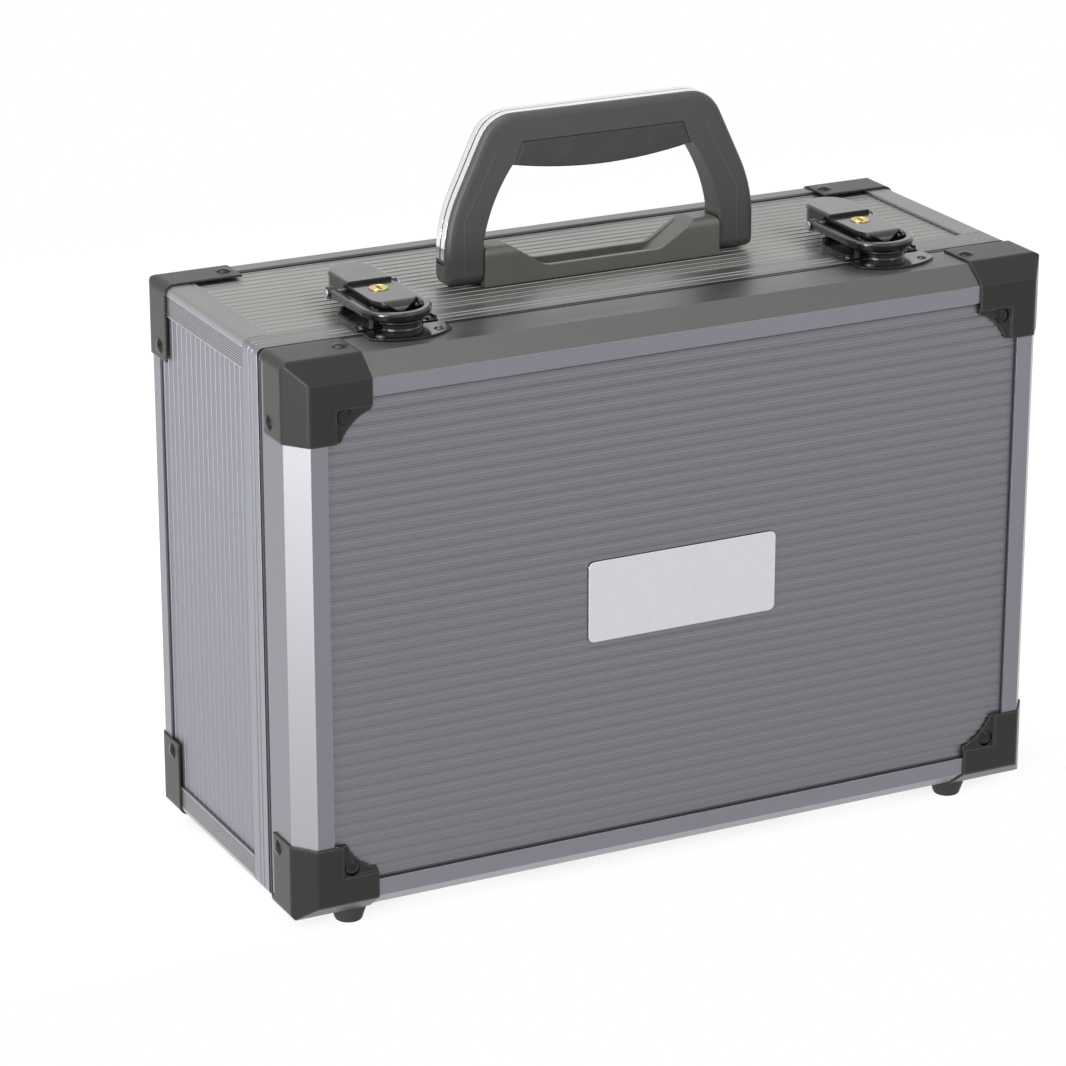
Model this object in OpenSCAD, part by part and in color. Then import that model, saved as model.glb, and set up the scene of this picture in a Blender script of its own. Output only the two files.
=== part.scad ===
// Hard tool case: an extruded aluminium frame case with a front lid, two toggle
// latches, a folding handle, corner caps and rubber feet.
// The front of the lid faces -Y, +Z is up, and the feet stand on z = 0.

/* [Case] */
// Overall width over the corner caps
case_w = 400; // [360:5:480]
// Overall depth from the lid's front to the back
case_d = 170; // [160:2:220]
// Height of the shell without feet and handle
case_h = 272; // [240:4:330]
// Depth of the lid from its front to its rear edge
lid_d = 38; // [36:1:44]
// Width of the seam between the lid and the body
seam_gap = 2; // [1.8:0.1:2.6]
// Corner radius of the frames, seen from the front
frame_r = 4; // [2:0.5:5]

/* [Panels] */
// Thickness of a laminated panel
panel_t = 5; // [4:0.5:6]
// Thickness of the aluminium sheet on a panel
sheet_skin = 0.6; // [0.4:0.1:0.8]
// Distance between the raised beads on a panel
bead_pitch = 5.82; // [4:0.01:9]
// Width of a bead at its foot
bead_w = 0.9; // [0.6:0.1:1.4]
// Height of a bead
bead_h = 0.3; // [0.15:0.05:0.4]

/* [Frames] */
// Wall thickness of the lid's frame
lid_wall = 1.8; // [1.4:0.1:2.2]
// Thickness of the frame leaves that cover the panels' edges
leaf_t = 1.4; // [1.1:0.1:1.6]
// Depth of the lid's chamfer, measured from its front
chamfer_d = 11.2; // [9:0.2:14]
// Inset of the lid's chamfer, measured from its sides
chamfer_in = 8.6; // [7:0.2:10]
// Width of the flat strip round the lid's panel
strip_w = 8.4; // [7:0.2:10]
// Width of the body's closing frame, seen from the side
closing_w = 17.2; // [16:0.2:20]
// Width of the rear frame, seen from the side
rear_side_w = 10; // [9:0.5:12]
// Width of the rear frame, seen from the back
rear_back_w = 14.5; // [13:0.5:18]
// Width of the edge profiles that run from front to back
edge_w = 14.5; // [13:0.5:18]
// Rounding of the outer edges of the body's profiles
edge_r = 3; // [1.5:0.5:4]
// Reach of the body's tongue into the lid
tongue_d = 4; // [3:0.5:6]
// Thickness of the tongue
tongue_t = 2; // [1.5:0.1:2.4]

/* [Corner caps] */
// Sheet thickness of the corner caps
cap_t = 1; // [0.8:0.1:1.2]
// Length of a cap along the width
cap_x = 40; // [36:1:44]
// Length of a cap along the height
cap_z = 38; // [36:1:44]
// Width of a cap's raised arms on the front
cap_arm = 22.2; // [20:0.2:24]
// Depth of a lid cap's top and bottom legs
lid_cap_d = 34.6; // [32:0.2:35]
// Depth of a lid cap's side legs
lid_side_leg_d = 31.2; // [29:0.2:32]
// Rounding of a cap's folds along the chamfers
cap_fold_r = 2.6; // [1:0.2:3]
// Depth of a rear cap's legs
rear_cap_d = 22; // [20:1:26]
// Radius of the hollow curve that trims a cap's tab
cap_scoop_r = 25; // [23:0.5:27]

/* [Rivets] */
// Radius of a corner rivet's head
rivet_r = 3.9; // [3:0.1:4.2]
// Height of a corner rivet's head
rivet_h = 1.3; // [1:0.1:1.3]
// Radius of a corner rivet's shank
shank_r = 1.9; // [1.5:0.1:2.2]

/* [Badge] */
// Width of the bare plate on the lid
badge_w = 100; // [60:5:140]
// Height of the plate
badge_h = 40; // [24:2:60]
// Corner radius of the plate
badge_r = 3; // [1:0.5:6]

/* [Feet] */
// Clear height of the shell above the ground
foot_h = 10; // [9:0.5:14]
// Radius of a foot where it meets the case
foot_r = 9.5; // [8:0.5:10]

/* [Hinges] */
// Distance of the hinges' middles from the sides
hinge_in = 90; // [60:5:110]
// Width of a hinge
hinge_w = 60; // [50:5:80]
// Radius of the hinge knuckles
knuckle_r = 3.3; // [3:0.1:3.6]
// Radius of the hinge pins
hinge_pin_r = 1.6; // [1.2:0.1:1.9]
// Width of a hinge leaf
leaf_w = 19; // [16:1:20]

/* [Latches] */
// Distance of the latches' middles from the sides
latch_in = 71.5; // [64:0.5:72]
// Width of the strike and base plates
plate_w = 41; // [39:1:46]
// Width of the lever
lever_w = 22; // [20:0.5:24]
// Height of the lever's top above the frame
lever_top = 13; // [12.6:0.1:14]
// Width of the loop's bars
loop_bar = 3.7; // [3:0.1:4.2]
// Height of the loop's bars
loop_h = 4.2; // [3.6:0.1:4.4]
// Radius of the key core
key_r = 4.5; // [3.5:0.1:5]
// Height of the thumb pad over the lever
pad_h = 1.7; // [1.2:0.1:2.4]

/* [Handle] */
// Overall width of the handle over its legs
handle_w = 164.8; // [160:0.4:175]
// Height of the handle's top over the case
handle_h = 79.5; // [76:0.5:84]
// Thickness of the handle
handle_t = 15; // [14:0.5:16]
// Height of the opening's upper corners over the case
grip_z = 55.2; // [52:0.2:58]
// Sag of the grip's belly
belly = 4.6; // [2:0.2:6]
// Width of the handle's base
base_w = 126; // [120:1:134]
// Depth of the handle's base
base_d = 17; // [16:0.5:20]
// Height of the base's lugs
lug_h = 19; // [17:0.5:20]
// Distance of the handle's pivot from the back
handle_back = 78; // [74:1:84]

/* [Fits] */
// Gap between a pin and a hole that turns on it
run_fit = 0.05; // [0.02:0.01:0.1]
// Gap between pieces that move past each other
move_gap = 0.4; // [0.3:0.05:0.6]
// Gap round a panel in its slot
slot_gap = 0.1; // [0.05:0.05:0.2]

/* [Hidden] */
$fn = 48;
hw = case_w / 2;
hh = case_h / 2;
// The frames lie one cap thickness inside the overall size
fw = hw - cap_t;
fh = hh - cap_t;
y_front = -case_d / 2;
y_lid0 = y_front + cap_t;
y_lid1 = y_front + lid_d;
y_body0 = y_lid1 + seam_gap;
y_back = case_d / 2;
y_rear0 = y_back - cap_t;
lift_z = foot_h + hh;

// A bead just clears the leaf that covers it
bead_clear = 0.05;
face_in = leaf_t + bead_clear + bead_h;
bead_top = leaf_t + bead_clear;
inner_in = face_in + panel_t + slot_gap;
inner_leaf = 1;
core_in = inner_in + inner_leaf;
slot_end = core_in + 0.35;
leaf_reach = 5;
mitre_gap = 0.1;
// Gap between a panel's edge and the floor of its slot
panel_edge = 0.2;
mitre_deep = 30;

// Lid's own panel sits behind the front strip
strip_t = 1.6;
lid_face_in = strip_t + bead_clear + bead_h;
lid_bead_top = strip_t + bead_clear;
lid_inner_in = lid_face_in + panel_t + slot_gap;
lid_slot_end = chamfer_in + 0.7;
lid_depth = lid_d - cap_t;

closing_web0 = 2.6;
closing_web1 = 6;
groove_t = 0.7;
rear_slot = 5;
tongue_gap = 0.5;
tongue0 = lid_wall + tongue_gap;
tongue1 = tongue0 + tongue_t;

// The feet stand where the caps' bottom legs would have their rivets
leg_rivet_in = 5.5;
leg_rivet_x = hw - cap_x + leg_rivet_in;
lid_rivet_y = y_front + 23.8;
rear_rivet_y = y_back - 12;
// Other rivets of a cap: on the side legs, from the front or back, and on the tabs
side_rivet_in = 6;
lid_side_rivet = 26;
rear_side_rivet = 14;
tab_rivet = [4.8, 3.8];
// Gap between a cap's tab and the beads under it
tab_gap = 0.1;
lid_tab_y = y_lid0 + lid_bead_top - cap_t - tab_gap;
rear_tab_y = y_rear0 - bead_top + tab_gap;
rivet_len = 3.2;

lining_t = 4;
lining_gap = 0.15;
lining_in = core_in + lining_gap;

shell_gap = 0.04;
shank_gap = 0.05;
small_shank = 1.6;
hinge_shank = 1.5;
screw_r = 2;
small_head = [2.6, 1];
hinge_head = [2.8, 1.1];
screw_head = [3.8, 2];
// Length of a cutter that passes right through a leaf or a sheet
through = 60;
// Depth of a hole that stays in the outer leaf
short_hole = 8;

hinge_x = hw - hinge_in;
hinge_y = (y_lid1 + y_body0) / 2;
hinge_leaf_t = 1.2;
hinge_z = -fh - knuckle_r - 0.5;
ground_z = -hh - foot_h;

// Latch heights and places are measured from the frame's top and the seam
latch_x = hw - latch_in;
sheet_t = 1.2;
plate_gap = 0.6;
lever_front = y_body0 - 3.5;
lever_len = 65.5;
lever_r = lever_w / 2;
lever_wall = 1.2;
lever_low = 6.4;
nose_r = 5;
pivot_y = lever_front + 6.5;
pivot_z = 8.4;
pivot_pin_r = 1.3;
ear_t = 1.2;
ear_in = lever_r + move_gap;
ear_out = ear_in + ear_t;
// The loop's bend starts beside the ears, so its bars stand further out
loop_in = ear_out + 1.1;
loop_out = loop_in + loop_bar;
loop_low = 6;
loop_mid = loop_low + loop_h / 2;
loop_cy = y_body0 + 5;
loop_pin_y = lever_front + 43.5;
loop_pin_r = 1.25;
eye_r = 3;
key_y = lever_front + 25.2;
key_low = 4.2;
pad_y = lever_front + 35.2;
strike_front = y_lid1 - 19.2;
strike_rivet_y = y_lid1 - 10.5;
strike_rivet_x = 14.5;
hook_w = 25;
hook_in = 9.7;
hook_top = loop_low - move_gap;
hook_rim = 0.7;
hook_neck = 1.4;
bow_d = 8;
base_back = lever_front + 40.5;
base_rim = 2.6;
base_step = 1.2;
ear_r = 2.3;
lever_roof = 1.4;
loop_bevel = 0.8;
loop_round = 1.3;
pin_head_t = 0.8;
pin_head_r = loop_pin_r + 0.7;
key_proud = 0.35;
keyway_w = 1.2;
keyway_deep = 2;
cam_w = 4;
cam_t = 1.4;

// Handle heights are measured from the lid caps' top plane
handle_y = y_back - handle_back;
panel_z = fh - bead_top;
handle_pivot_z = panel_z + 8.5;
leg_end_r = handle_t / 2 + 0.4;
leg_flat = 0.3;
leg_in = base_w / 2 + move_gap;
handle_pin_r = 3;
grip_edge_r = 3.2;
trim_w = 3.6;
trim_split = 1.2;
trim_deep = 0.6;
trim_proud = 0.35;
insert_top = 65.7;
insert_edge_r = 0.8;
insert_proud = 0.2;
insert_gap = 0.08;
rim_h = 7;
// Small notch in each leg, under the strips
notch_h = 1.4;
notch_deep = 1.2;
notch_z = handle_pivot_z + 3.6;
trim_end_z = handle_pivot_z + 6;
base_edge_r = 4;
trough_rim = 2.4;
backing_w = 24;
lug_top_w = 13;
lug_foot_w = 32;
trough_wall = 4;
trough_floor = 3;

// ---------------------------------------------------------------- outlines

function unit(v) = v / norm(v);
function left_of(a, b) = let (d = unit(b - a)) [-d.y, d.x];
function turned(v, a) = [v.x * cos(a) - v.y * sin(a), v.x * sin(a) + v.y * cos(a)];
function mirrored(p) = [for (i = [len(p) - 1:-1:0]) [-p[i].x, p[i].y]];

// Points of an arc about c from angle a0 to a1
function arc(c, r, a0, a1, n) =
  [for (i = [0:n]) c + r * [cos(a0 + (a1 - a0) * i / n), sin(a0 + (a1 - a0) * i / n)]];

// Outline p, listed anticlockwise, moved inwards by d
function inset_outline(p, d) =
  let (n = len(p))
  [for (i = [0:n - 1])
    let (
      n1 = left_of(p[(i + n - 1) % n], p[i]),
      n2 = left_of(p[i], p[(i + 1) % n])
    )
    p[i] + d * (n1 + n2) / (1 + n1 * n2)];

// Outline p with the corner i rounded to radius r[i]
function round_outline(p, r, steps = 8) =
  let (n = len(p))
  [for (i = [0:n - 1])
    let (
      u1 = unit(p[i] - p[(i + n - 1) % n]),
      u2 = unit(p[(i + 1) % n] - p[i]),
      turn = atan2(u1.x * u2.y - u1.y * u2.x, u1 * u2),
      side = turn < 0 ? -1 : 1,
      start = p[i] - u1 * r[i] * tan(abs(turn) / 2),
      centre = start + side * r[i] * [-u1.y, u1.x]
    )
    each (r[i] == 0 ? [p[i]] : [for (k = [0:steps]) centre + turned(start - centre, turn * k / steps)])];

// A row of beads: a full bead at each pitch and a slight one between
function bead_points(len) =
  let (
    n = floor((len / 2 - bead_w) / bead_pitch),
    half = bead_w / 2,
    small = bead_w / 4
  )
  [for (i = [-n:n])
    each concat(
      [[i * bead_pitch - half, 0], [i * bead_pitch - half / 2, bead_h]],
      [[i * bead_pitch + half / 2, bead_h], [i * bead_pitch + half, 0]],
      i == n ? [] : [
        [(i + 0.5) * bead_pitch - small, 0],
        [(i + 0.5) * bead_pitch, bead_h * 0.4],
        [(i + 0.5) * bead_pitch + small, 0]
      ]
    )];

// Section of a panel's beaded sheet: u across the beads, v outwards from its face
function sheet_section(len) =
  concat([[-len / 2, -sheet_skin], [-len / 2, 0]], bead_points(len), [[len / 2, 0], [len / 2, -sheet_skin]]);

// Section of the board behind the sheet
function board_section(len) =
  [[-len / 2, -panel_t], [-len / 2, -sheet_skin], [len / 2, -sheet_skin], [len / 2, -panel_t]];

// Chamfered lid outline: half width or height, then depth, grown by g, with its folds rounded to r
function chamfered(half, y1, g, r) =
  let (
    s = sqrt(1 / pow(chamfer_in, 2) + 1 / pow(chamfer_d, 2)),
    d = chamfer_d * (1 - g * s + g / chamfer_in),
    t = chamfer_in * (1 - g * s + g / chamfer_d)
  )
  round_outline([
    [-half - g, y1], [-half - g, y_lid0 + d], [-half + t, y_lid0 - g],
    [half - t, y_lid0 - g], [half + g, y_lid0 + d], [half + g, y1]
  ], [0, r, r, r, r, 0], 4);

// ---------------------------------------------------------------- helpers

// Lifts the case, drawn about its middle, onto its feet
module lifted() translate([0, 0, lift_z]) children();

// Prism along X from points given as [y, z]
module along_x(pts, len, at = 0)
  translate([at, 0, 0]) rotate([90, 0, 90]) linear_extrude(len, center = true) polygon(pts);

// Prism along Y from y0 to y1, of points given as [x, z]
module along_y(pts, y0, y1)
  translate([0, y1, 0]) rotate([90, 0, 0]) linear_extrude(y1 - y0) polygon(pts);

// Prism along Z from points given as [x, y]
module along_z(pts, z0, z1)
  translate([0, 0, z0]) linear_extrude(z1 - z0) polygon(pts);

module rounded_rect(w, h, r) {
  square([w - 2 * r, h], center = true);
  square([w, h - 2 * r], center = true);
  for (x = [-1, 1], y = [-1, 1]) translate([x * (w / 2 - r), y * (h / 2 - r)]) circle(r);
}

// Rounded rectangular prism along Y
module rect_y(w, h, r, y0, y1)
  translate([0, y1, 0]) rotate([90, 0, 0]) linear_extrude(y1 - y0) rounded_rect(w, h, r);

// Cylinder along X about its middle
module rod_x(r, len, at = [0, 0, 0])
  translate(at) rotate([0, 90, 0]) cylinder(r = r, h = len, center = true);

// Rivet whose head stands on z = 0
module rivet(head_r, head_h, shank, len) {
  ball = (head_r * head_r + head_h * head_h) / (2 * head_h);
  intersection() {
    translate([0, 0, head_h - ball]) sphere(ball);
    cylinder(r = head_r, h = head_h);
  }
  translate([0, 0, -len]) cylinder(r = shank, h = len + head_h / 2);
}

// Repeats what is drawn at the right upper corner at all four corners
module four_corners()
  for (x = [0, 1], z = [0, 1]) mirror([x, 0, 0]) mirror([0, 0, z]) children();

module both_sides() {
  children();
  mirror([1, 0, 0]) children();
}

// Four mitred lengths of a profile. Its points are [inset, depth from y0].
module mitred_frame(profile, y0, dir) {
  outer = mitre_deep;
  g = mitre_gap / 2;
  intersection() {
    rect_y(2 * fw, 2 * fh, frame_r, -case_d, case_d);
    union() {
      for (s = [-1, 1]) {
        intersection() {
          along_x([for (p = profile) [y0 + dir * p.y, s * (fh - p.x)]], 2 * fw);
          along_y([[-fw + g, s * fh], [fw - g, s * fh], [fw - outer - g, s * (fh - outer)],
            [-fw + outer + g, s * (fh - outer)]], -case_d, case_d);
        }
        intersection() {
          along_z([for (p = profile) [s * (fw - p.x), y0 + dir * p.y]], -fh, fh);
          along_y([[s * fw, fh - g], [s * fw, -fh + g], [s * (fw - outer), -fh + outer + g],
            [s * (fw - outer), fh - outer - g]], -case_d, case_d);
        }
      }
    }
  }
}

// ---------------------------------------------------------------- lid

lid_profile = [
  [0, lid_depth], [0, lid_depth - 1.6], [0.5, lid_depth - 1.9], [0.5, lid_depth - 2.7],
  [0, lid_depth - 3], [0, chamfer_d], [chamfer_in, 0], [chamfer_in + strip_w, 0],
  [chamfer_in + strip_w, strip_t], [lid_slot_end, strip_t], [lid_slot_end, lid_inner_in],
  [chamfer_in + strip_w - 1.5, lid_inner_in], [chamfer_in + strip_w - 1.5, lid_inner_in + 1.4],
  [chamfer_in - 1.6, lid_inner_in + 1.4], [lid_wall, chamfer_d + 3.4], [lid_wall, lid_depth]
];

// Places of the lid's cap rivets: top legs, side legs and front tabs
module lid_cap_rivet_places() {
  both_sides() translate([leg_rivet_x, lid_rivet_y, hh]) children();
  four_corners() {
    translate([hw, y_front + lid_side_rivet, hh - cap_z + side_rivet_in]) rotate([0, 90, 0]) children();
    translate([hw - cap_arm - tab_rivet.x, lid_tab_y, hh - cap_arm - tab_rivet.y])
      rotate([90, 0, 0]) children();
  }
}

// Holes for the rivets' shanks: they reach inwards only, so that they miss the far side
module inward_hole(r, deep = 12) translate([0, 0, -deep]) cylinder(r = r + shank_gap, h = deep + 2);

module shank_hole() inward_hole(shank_r);

module through_hole(r) cylinder(r = r, h = through, center = true);

lid_panel_w = 2 * (fw - lid_slot_end - panel_edge);
lid_panel_h = 2 * (fh - lid_slot_end - panel_edge);

// A layer of the lid's panel, given by its section
module lid_layer(section) difference() {
  along_x([for (p = section) [y_lid0 + lid_face_in - p.y, p.x]], lid_panel_w);
  lid_cap_rivet_places() shank_hole();
}

module lid_sheet() color("slategray") lifted() lid_layer(sheet_section(lid_panel_h));

module lid_board() color("burlywood") lifted() lid_layer(board_section(lid_panel_h));

module lid_frame() color("lightslategray") lifted() difference() {
  mitred_frame(lid_profile, y_lid0, 1);
  lid_cap_rivet_places() shank_hole();
  strike_rivet_places() inward_hole(small_shank, short_hole);
  front_foot_places() foot_hole();
  hinge_rivet_places(-1) inward_hole(hinge_shank, short_hole);
}

// The lid's chamfered outer form, grown by g, with its folds rounded to r
module lid_form(g, y1, r = 0) intersection() {
  along_z(chamfered(fw, y1, g, r), -hh, hh);
  along_x([for (p = chamfered(fh, y1, g, r)) [p.y, p.x]], case_w);
  rect_y(2 * (fw + g), 2 * (fh + g), frame_r - 1 + g, y_front, y1);
}

// Outline of a cap seen from the front, at the right upper corner
module cap_outline() difference() {
  translate([hw - cap_x, hh - cap_z]) square([cap_x, cap_z]);
  translate([hw - cap_arm - cap_scoop_r - 0.4, hh - cap_arm - cap_scoop_r - 0.5]) circle(cap_scoop_r);
}

module cap_arms() difference() {
  cap_outline();
  translate([-cap_arm, -cap_arm]) square([hw, hh]);
}

module cap_tab() intersection() {
  cap_outline();
  translate([-cap_arm + cap_t, -cap_arm + cap_t]) square([hw, hh]);
}

module upright(y0, y1) translate([0, y1, 0]) rotate([90, 0, 0]) linear_extrude(y1 - y0) children();

// One corner cap: sheet over the arms, a step and a tab at the panel's face
module corner_cap(front, step_in) {
  intersection() {
    children();
    upright(-case_d, case_d) cap_arms();
  }
  tab_y = front > 0 ? lid_tab_y : rear_tab_y;
  upright(tab_y, tab_y + cap_t) cap_tab();
  wall_y = front > 0 ? y_front : tab_y;
  upright(wall_y, wall_y + step_in + cap_t - tab_gap) intersection() {
    cap_tab();
    cap_arms();
  }
}

module lid_corner_caps() color("darkslategray") lifted() difference() {
  four_corners() corner_cap(1, lid_bead_top) intersection() {
    difference() {
      lid_form(cap_t, y_front + lid_cap_d, cap_fold_r);
      lid_form(shell_gap, y_back);
      translate([fw, y_front + lid_side_leg_d, 0]) cube([case_w, case_d, fh - frame_r]);
    }
    translate([0, y_front, 0]) cube([case_w, lid_cap_d, case_h]);
  }
  lid_cap_rivet_places() shank_hole();
  front_foot_places() foot_hole();
}

module lid_cap_rivets() color("dimgray") lifted()
  lid_cap_rivet_places() rivet(rivet_r, rivet_h, shank_r, rivet_len);

module badge_plate() color("gainsboro") lifted()
  rect_y(badge_w, badge_h, badge_r, y_lid0 + lid_bead_top - 0.8, y_lid0 + lid_bead_top);

module lid_lining() color("dimgray") lifted() {
  y0 = y_lid0 + lid_inner_in + 1.4 + lining_gap;
  rect_y(2 * (fw - chamfer_in), 2 * (fh - chamfer_in), 6, y0, y0 + lining_t);
}

// ---------------------------------------------------------------- body

closing_edge = 0.25;
closing_profile = [
  [closing_edge, 0], [0, closing_edge], [0, 4.6], [groove_t, 4.9], [groove_t, 5.7], [0, 6],
  [0, 8.6], [groove_t, 8.9], [groove_t, 9.7], [0, 10],
  [0, closing_w - 0.8], [0.6, closing_w], [leaf_t, closing_w], [leaf_t, closing_web1],
  [inner_in, closing_web1], [inner_in, closing_web1 + leaf_reach + 3],
  [core_in, closing_web1 + leaf_reach + 3], [core_in, closing_web0], [tongue1, closing_web0],
  [tongue1, -tongue_d], [tongue0, -tongue_d], [tongue0, 0]
];

rear_profile = concat(
  arc([edge_r, edge_r], edge_r, 180, 270, 6),
  [
    [rear_back_w, 0], [rear_back_w, leaf_t], [slot_end, leaf_t], [slot_end, inner_in],
    [slot_end + leaf_reach, inner_in], [slot_end + leaf_reach, core_in], [core_in, core_in],
    [core_in, rear_side_w], [inner_in, rear_side_w], [inner_in, rear_slot],
    [leaf_t, rear_slot], [leaf_t, rear_side_w], [0, rear_side_w]
  ]
);

// Corner profile with fine lengthwise flutes on the leg that lies on the side
flute_n = 8;
flute_deep = 0.5;
flute_start = frame_r + 0.4;
flute_pitch = (edge_w - flute_start - 0.6) / flute_n;
edge_profile = concat(
  arc([frame_r, frame_r], frame_r, 180, 270, 6),
  [
    [edge_w - 2.4, 0], [edge_w - 2.1, 0.4], [edge_w - 1.5, 0.4], [edge_w - 1.2, 0],
    [edge_w, 0], [edge_w, leaf_t], [slot_end, leaf_t], [slot_end, inner_in],
    [slot_end + leaf_reach, inner_in], [slot_end + leaf_reach, core_in], [core_in, core_in],
    [core_in, slot_end + leaf_reach], [inner_in, slot_end + leaf_reach], [inner_in, slot_end],
    [leaf_t, slot_end], [leaf_t, edge_w], [0, edge_w]
  ],
  [for (i = [flute_n:-1:1], c = [0.75, 0.5, 0.25, 0])
    [c == 0.5 || c == 0.25 ? flute_deep : 0, flute_start + (i - 1 + c) * flute_pitch]]
);

edge_y0 = y_body0 + closing_w + mitre_gap;
edge_y1 = y_rear0 - rear_side_w - mitre_gap;
panel_y0 = y_body0 + closing_web1 + panel_edge;
panel_y1 = y_rear0 - rear_slot - panel_edge;
panel_x = fw - slot_end - panel_edge;
panel_zh = fh - slot_end - panel_edge;
panel_mid = (panel_y0 + panel_y1) / 2;
panel_d = panel_y1 - panel_y0;

// Places of the rear cap rivets: top legs, side legs and back tabs
module rear_cap_rivet_places() {
  both_sides() translate([leg_rivet_x, rear_rivet_y, hh]) children();
  four_corners() {
    translate([hw, y_back - rear_side_rivet, hh - cap_z + side_rivet_in]) rotate([0, 90, 0]) children();
    translate([hw - cap_arm - tab_rivet.x, rear_tab_y + cap_t, hh - cap_arm - tab_rivet.y])
      rotate([-90, 0, 0]) children();
  }
}

// A layer of the back panel
module back_layer(section) difference() {
  along_x([for (p = section) [y_rear0 - face_in + p.y, p.x]], 2 * panel_x);
  rear_cap_rivet_places() shank_hole();
}

// A layer of the top or bottom panel: s is 1 for the top
module level_layer(s, section) difference() {
  along_x([for (p = section) [panel_mid + p.x, s * (fh - face_in + p.y)]], 2 * panel_x);
  rear_cap_rivet_places() shank_hole();
  if (s > 0) {
    latch_base_rivet_places() inward_hole(small_shank);
    handle_screw_places() through_hole(screw_r + shank_gap);
  } else {
    rear_foot_places() foot_hole();
    hinge_rivet_places(1) inward_hole(hinge_shank, short_hole);
  }
}

// A layer of the left or right panel: s is 1 for the right
module side_layer(s, section) difference() {
  along_z([for (p = section) [s * (fw - face_in + p.y), panel_mid + p.x]], -panel_zh, panel_zh);
  rear_cap_rivet_places() shank_hole();
}

module back_sheet() color("slategray") lifted() back_layer(sheet_section(2 * panel_zh));

module top_sheet() color("slategray") lifted() level_layer(1, sheet_section(panel_d));

module bottom_sheet() color("slategray") lifted() level_layer(-1, sheet_section(panel_d));

module left_sheet() color("slategray") lifted() side_layer(-1, sheet_section(panel_d));

module right_sheet() color("slategray") lifted() side_layer(1, sheet_section(panel_d));

module body_boards() color("burlywood") lifted() {
  back_layer(board_section(2 * panel_zh));
  for (s = [-1, 1]) {
    level_layer(s, board_section(panel_d));
    side_layer(s, board_section(panel_d));
  }
}

module closing_frame() color("lightslategray") lifted() difference() {
  mitred_frame(closing_profile, y_body0, 1);
  latch_base_rivet_places() inward_hole(small_shank);
  hinge_rivet_places(1) inward_hole(hinge_shank, short_hole);
}

module rear_frame() color("lightslategray") lifted() difference() {
  mitred_frame(rear_profile, y_rear0, -1);
  rear_cap_rivet_places() shank_hole();
  rear_foot_places() foot_hole();
}

module edge_profiles() color("lightslategray") lifted() difference() {
  four_corners() along_y([for (p = edge_profile) [fw - p.x, fh - p.y]], edge_y0, edge_y1);
  rear_cap_rivet_places() shank_hole();
}

// The rear of the body as a rounded block, grown by g
module body_form(g) {
  r = edge_r + g;
  y0 = y_front;
  intersection() {
    rect_y(2 * (fw + g), 2 * (fh + g), frame_r + g, y0, y_rear0 + g);
    along_z(round_outline([[-fw - g, y0], [fw + g, y0], [fw + g, y_rear0 + g], [-fw - g, y_rear0 + g]],
      [0, 0, r, r], 6), -hh - 1, hh + 1);
    along_x(round_outline([[y0, -fh - g], [y_rear0 + g, -fh - g], [y_rear0 + g, fh + g], [y0, fh + g]],
      [0, r, r, 0], 6), case_w + 2);
  }
}

module rear_corner_caps() color("darkslategray") lifted() difference() {
  four_corners() corner_cap(-1, bead_top) intersection() {
    difference() {
      body_form(cap_t);
      body_form(shell_gap);
    }
    translate([0, y_back - rear_cap_d, 0]) cube([case_w, rear_cap_d, case_h]);
  }
  rear_cap_rivet_places() shank_hole();
  rear_foot_places() foot_hole();
}

module rear_cap_rivets() color("dimgray") lifted()
  rear_cap_rivet_places() rivet(rivet_r, rivet_h, shank_r, rivet_len);

// Soft strips in the step outside the tongue, just short of the lid's edge
seal_in = 0.3;
seal_profile = [[seal_in, 0], [seal_in, seam_gap - 0.3], [tongue0 - 0.1, seam_gap - 0.3], [tongue0 - 0.1, 0]];

module rim_seal() color("black") lifted() mitred_frame(seal_profile, y_body0, -1);

module body_lining() color("dimgray") lifted() difference() {
  x = fw - lining_in;
  z = fh - lining_in;
  y0 = y_body0 + closing_web0 + 0.4;
  y1 = y_rear0 - lining_in;
  translate([-x, y0, -z]) cube([2 * x, y1 - y0, 2 * z]);
  translate([-x + lining_t, y0 - 1, -z + lining_t])
    cube([2 * (x - lining_t), y1 - y0 - lining_t + 1, 2 * (z - lining_t)]);
  handle_screw_places() through_hole(screw_head[0] + 1.2);
}

// ---------------------------------------------------------------- feet

module front_foot_places()
  both_sides() translate([leg_rivet_x, lid_rivet_y, ground_z]) children();

module rear_foot_places()
  both_sides() translate([leg_rivet_x, rear_rivet_y, ground_z]) children();

module foot_hole() through_hole(screw_r + shank_gap);

// Tapered rubber foot with a sunk screw seat
seat_r = screw_head[0] + 0.4;
seat_h = 4;
foot_taper = 4;
foot_round = 1.2;
module foot() rotate_extrude() polygon(concat(
  [[seat_r, 0]],
  arc([foot_r - foot_taper, foot_round], foot_round, -90, -20, 4),
  [[foot_r - 0.5, foot_h - 2], [foot_r, foot_h - foot_round], [foot_r, foot_h]],
  [[screw_r + 0.2, foot_h], [screw_r + 0.2, seat_h], [seat_r, seat_h]]
));

// Screw whose head seats in the foot, with a shank up to the given height
module foot_screw(h) {
  translate([0, 0, seat_h]) mirror([0, 0, 1]) rivet(screw_head[0], screw_head[1], screw_r - 0.1, 0.1);
  translate([0, 0, seat_h - 0.5]) cylinder(r = screw_r, h = h - seat_h + 0.5);
}

module front_feet() color("black") lifted()
  front_foot_places() foot();

module front_foot_screws() color("dimgray") lifted()
  front_foot_places() foot_screw(-fh - ground_z + lid_wall + 1.5);

module rear_feet() color("black") lifted()
  rear_foot_places() foot();

module rear_foot_screws() color("dimgray") lifted()
  rear_foot_places() foot_screw(-fh + inner_in - ground_z + inner_leaf);

// ---------------------------------------------------------------- hinges

knuckles = 5;
knuckle_gap = 0.4;
seg = hinge_w / knuckles;

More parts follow.
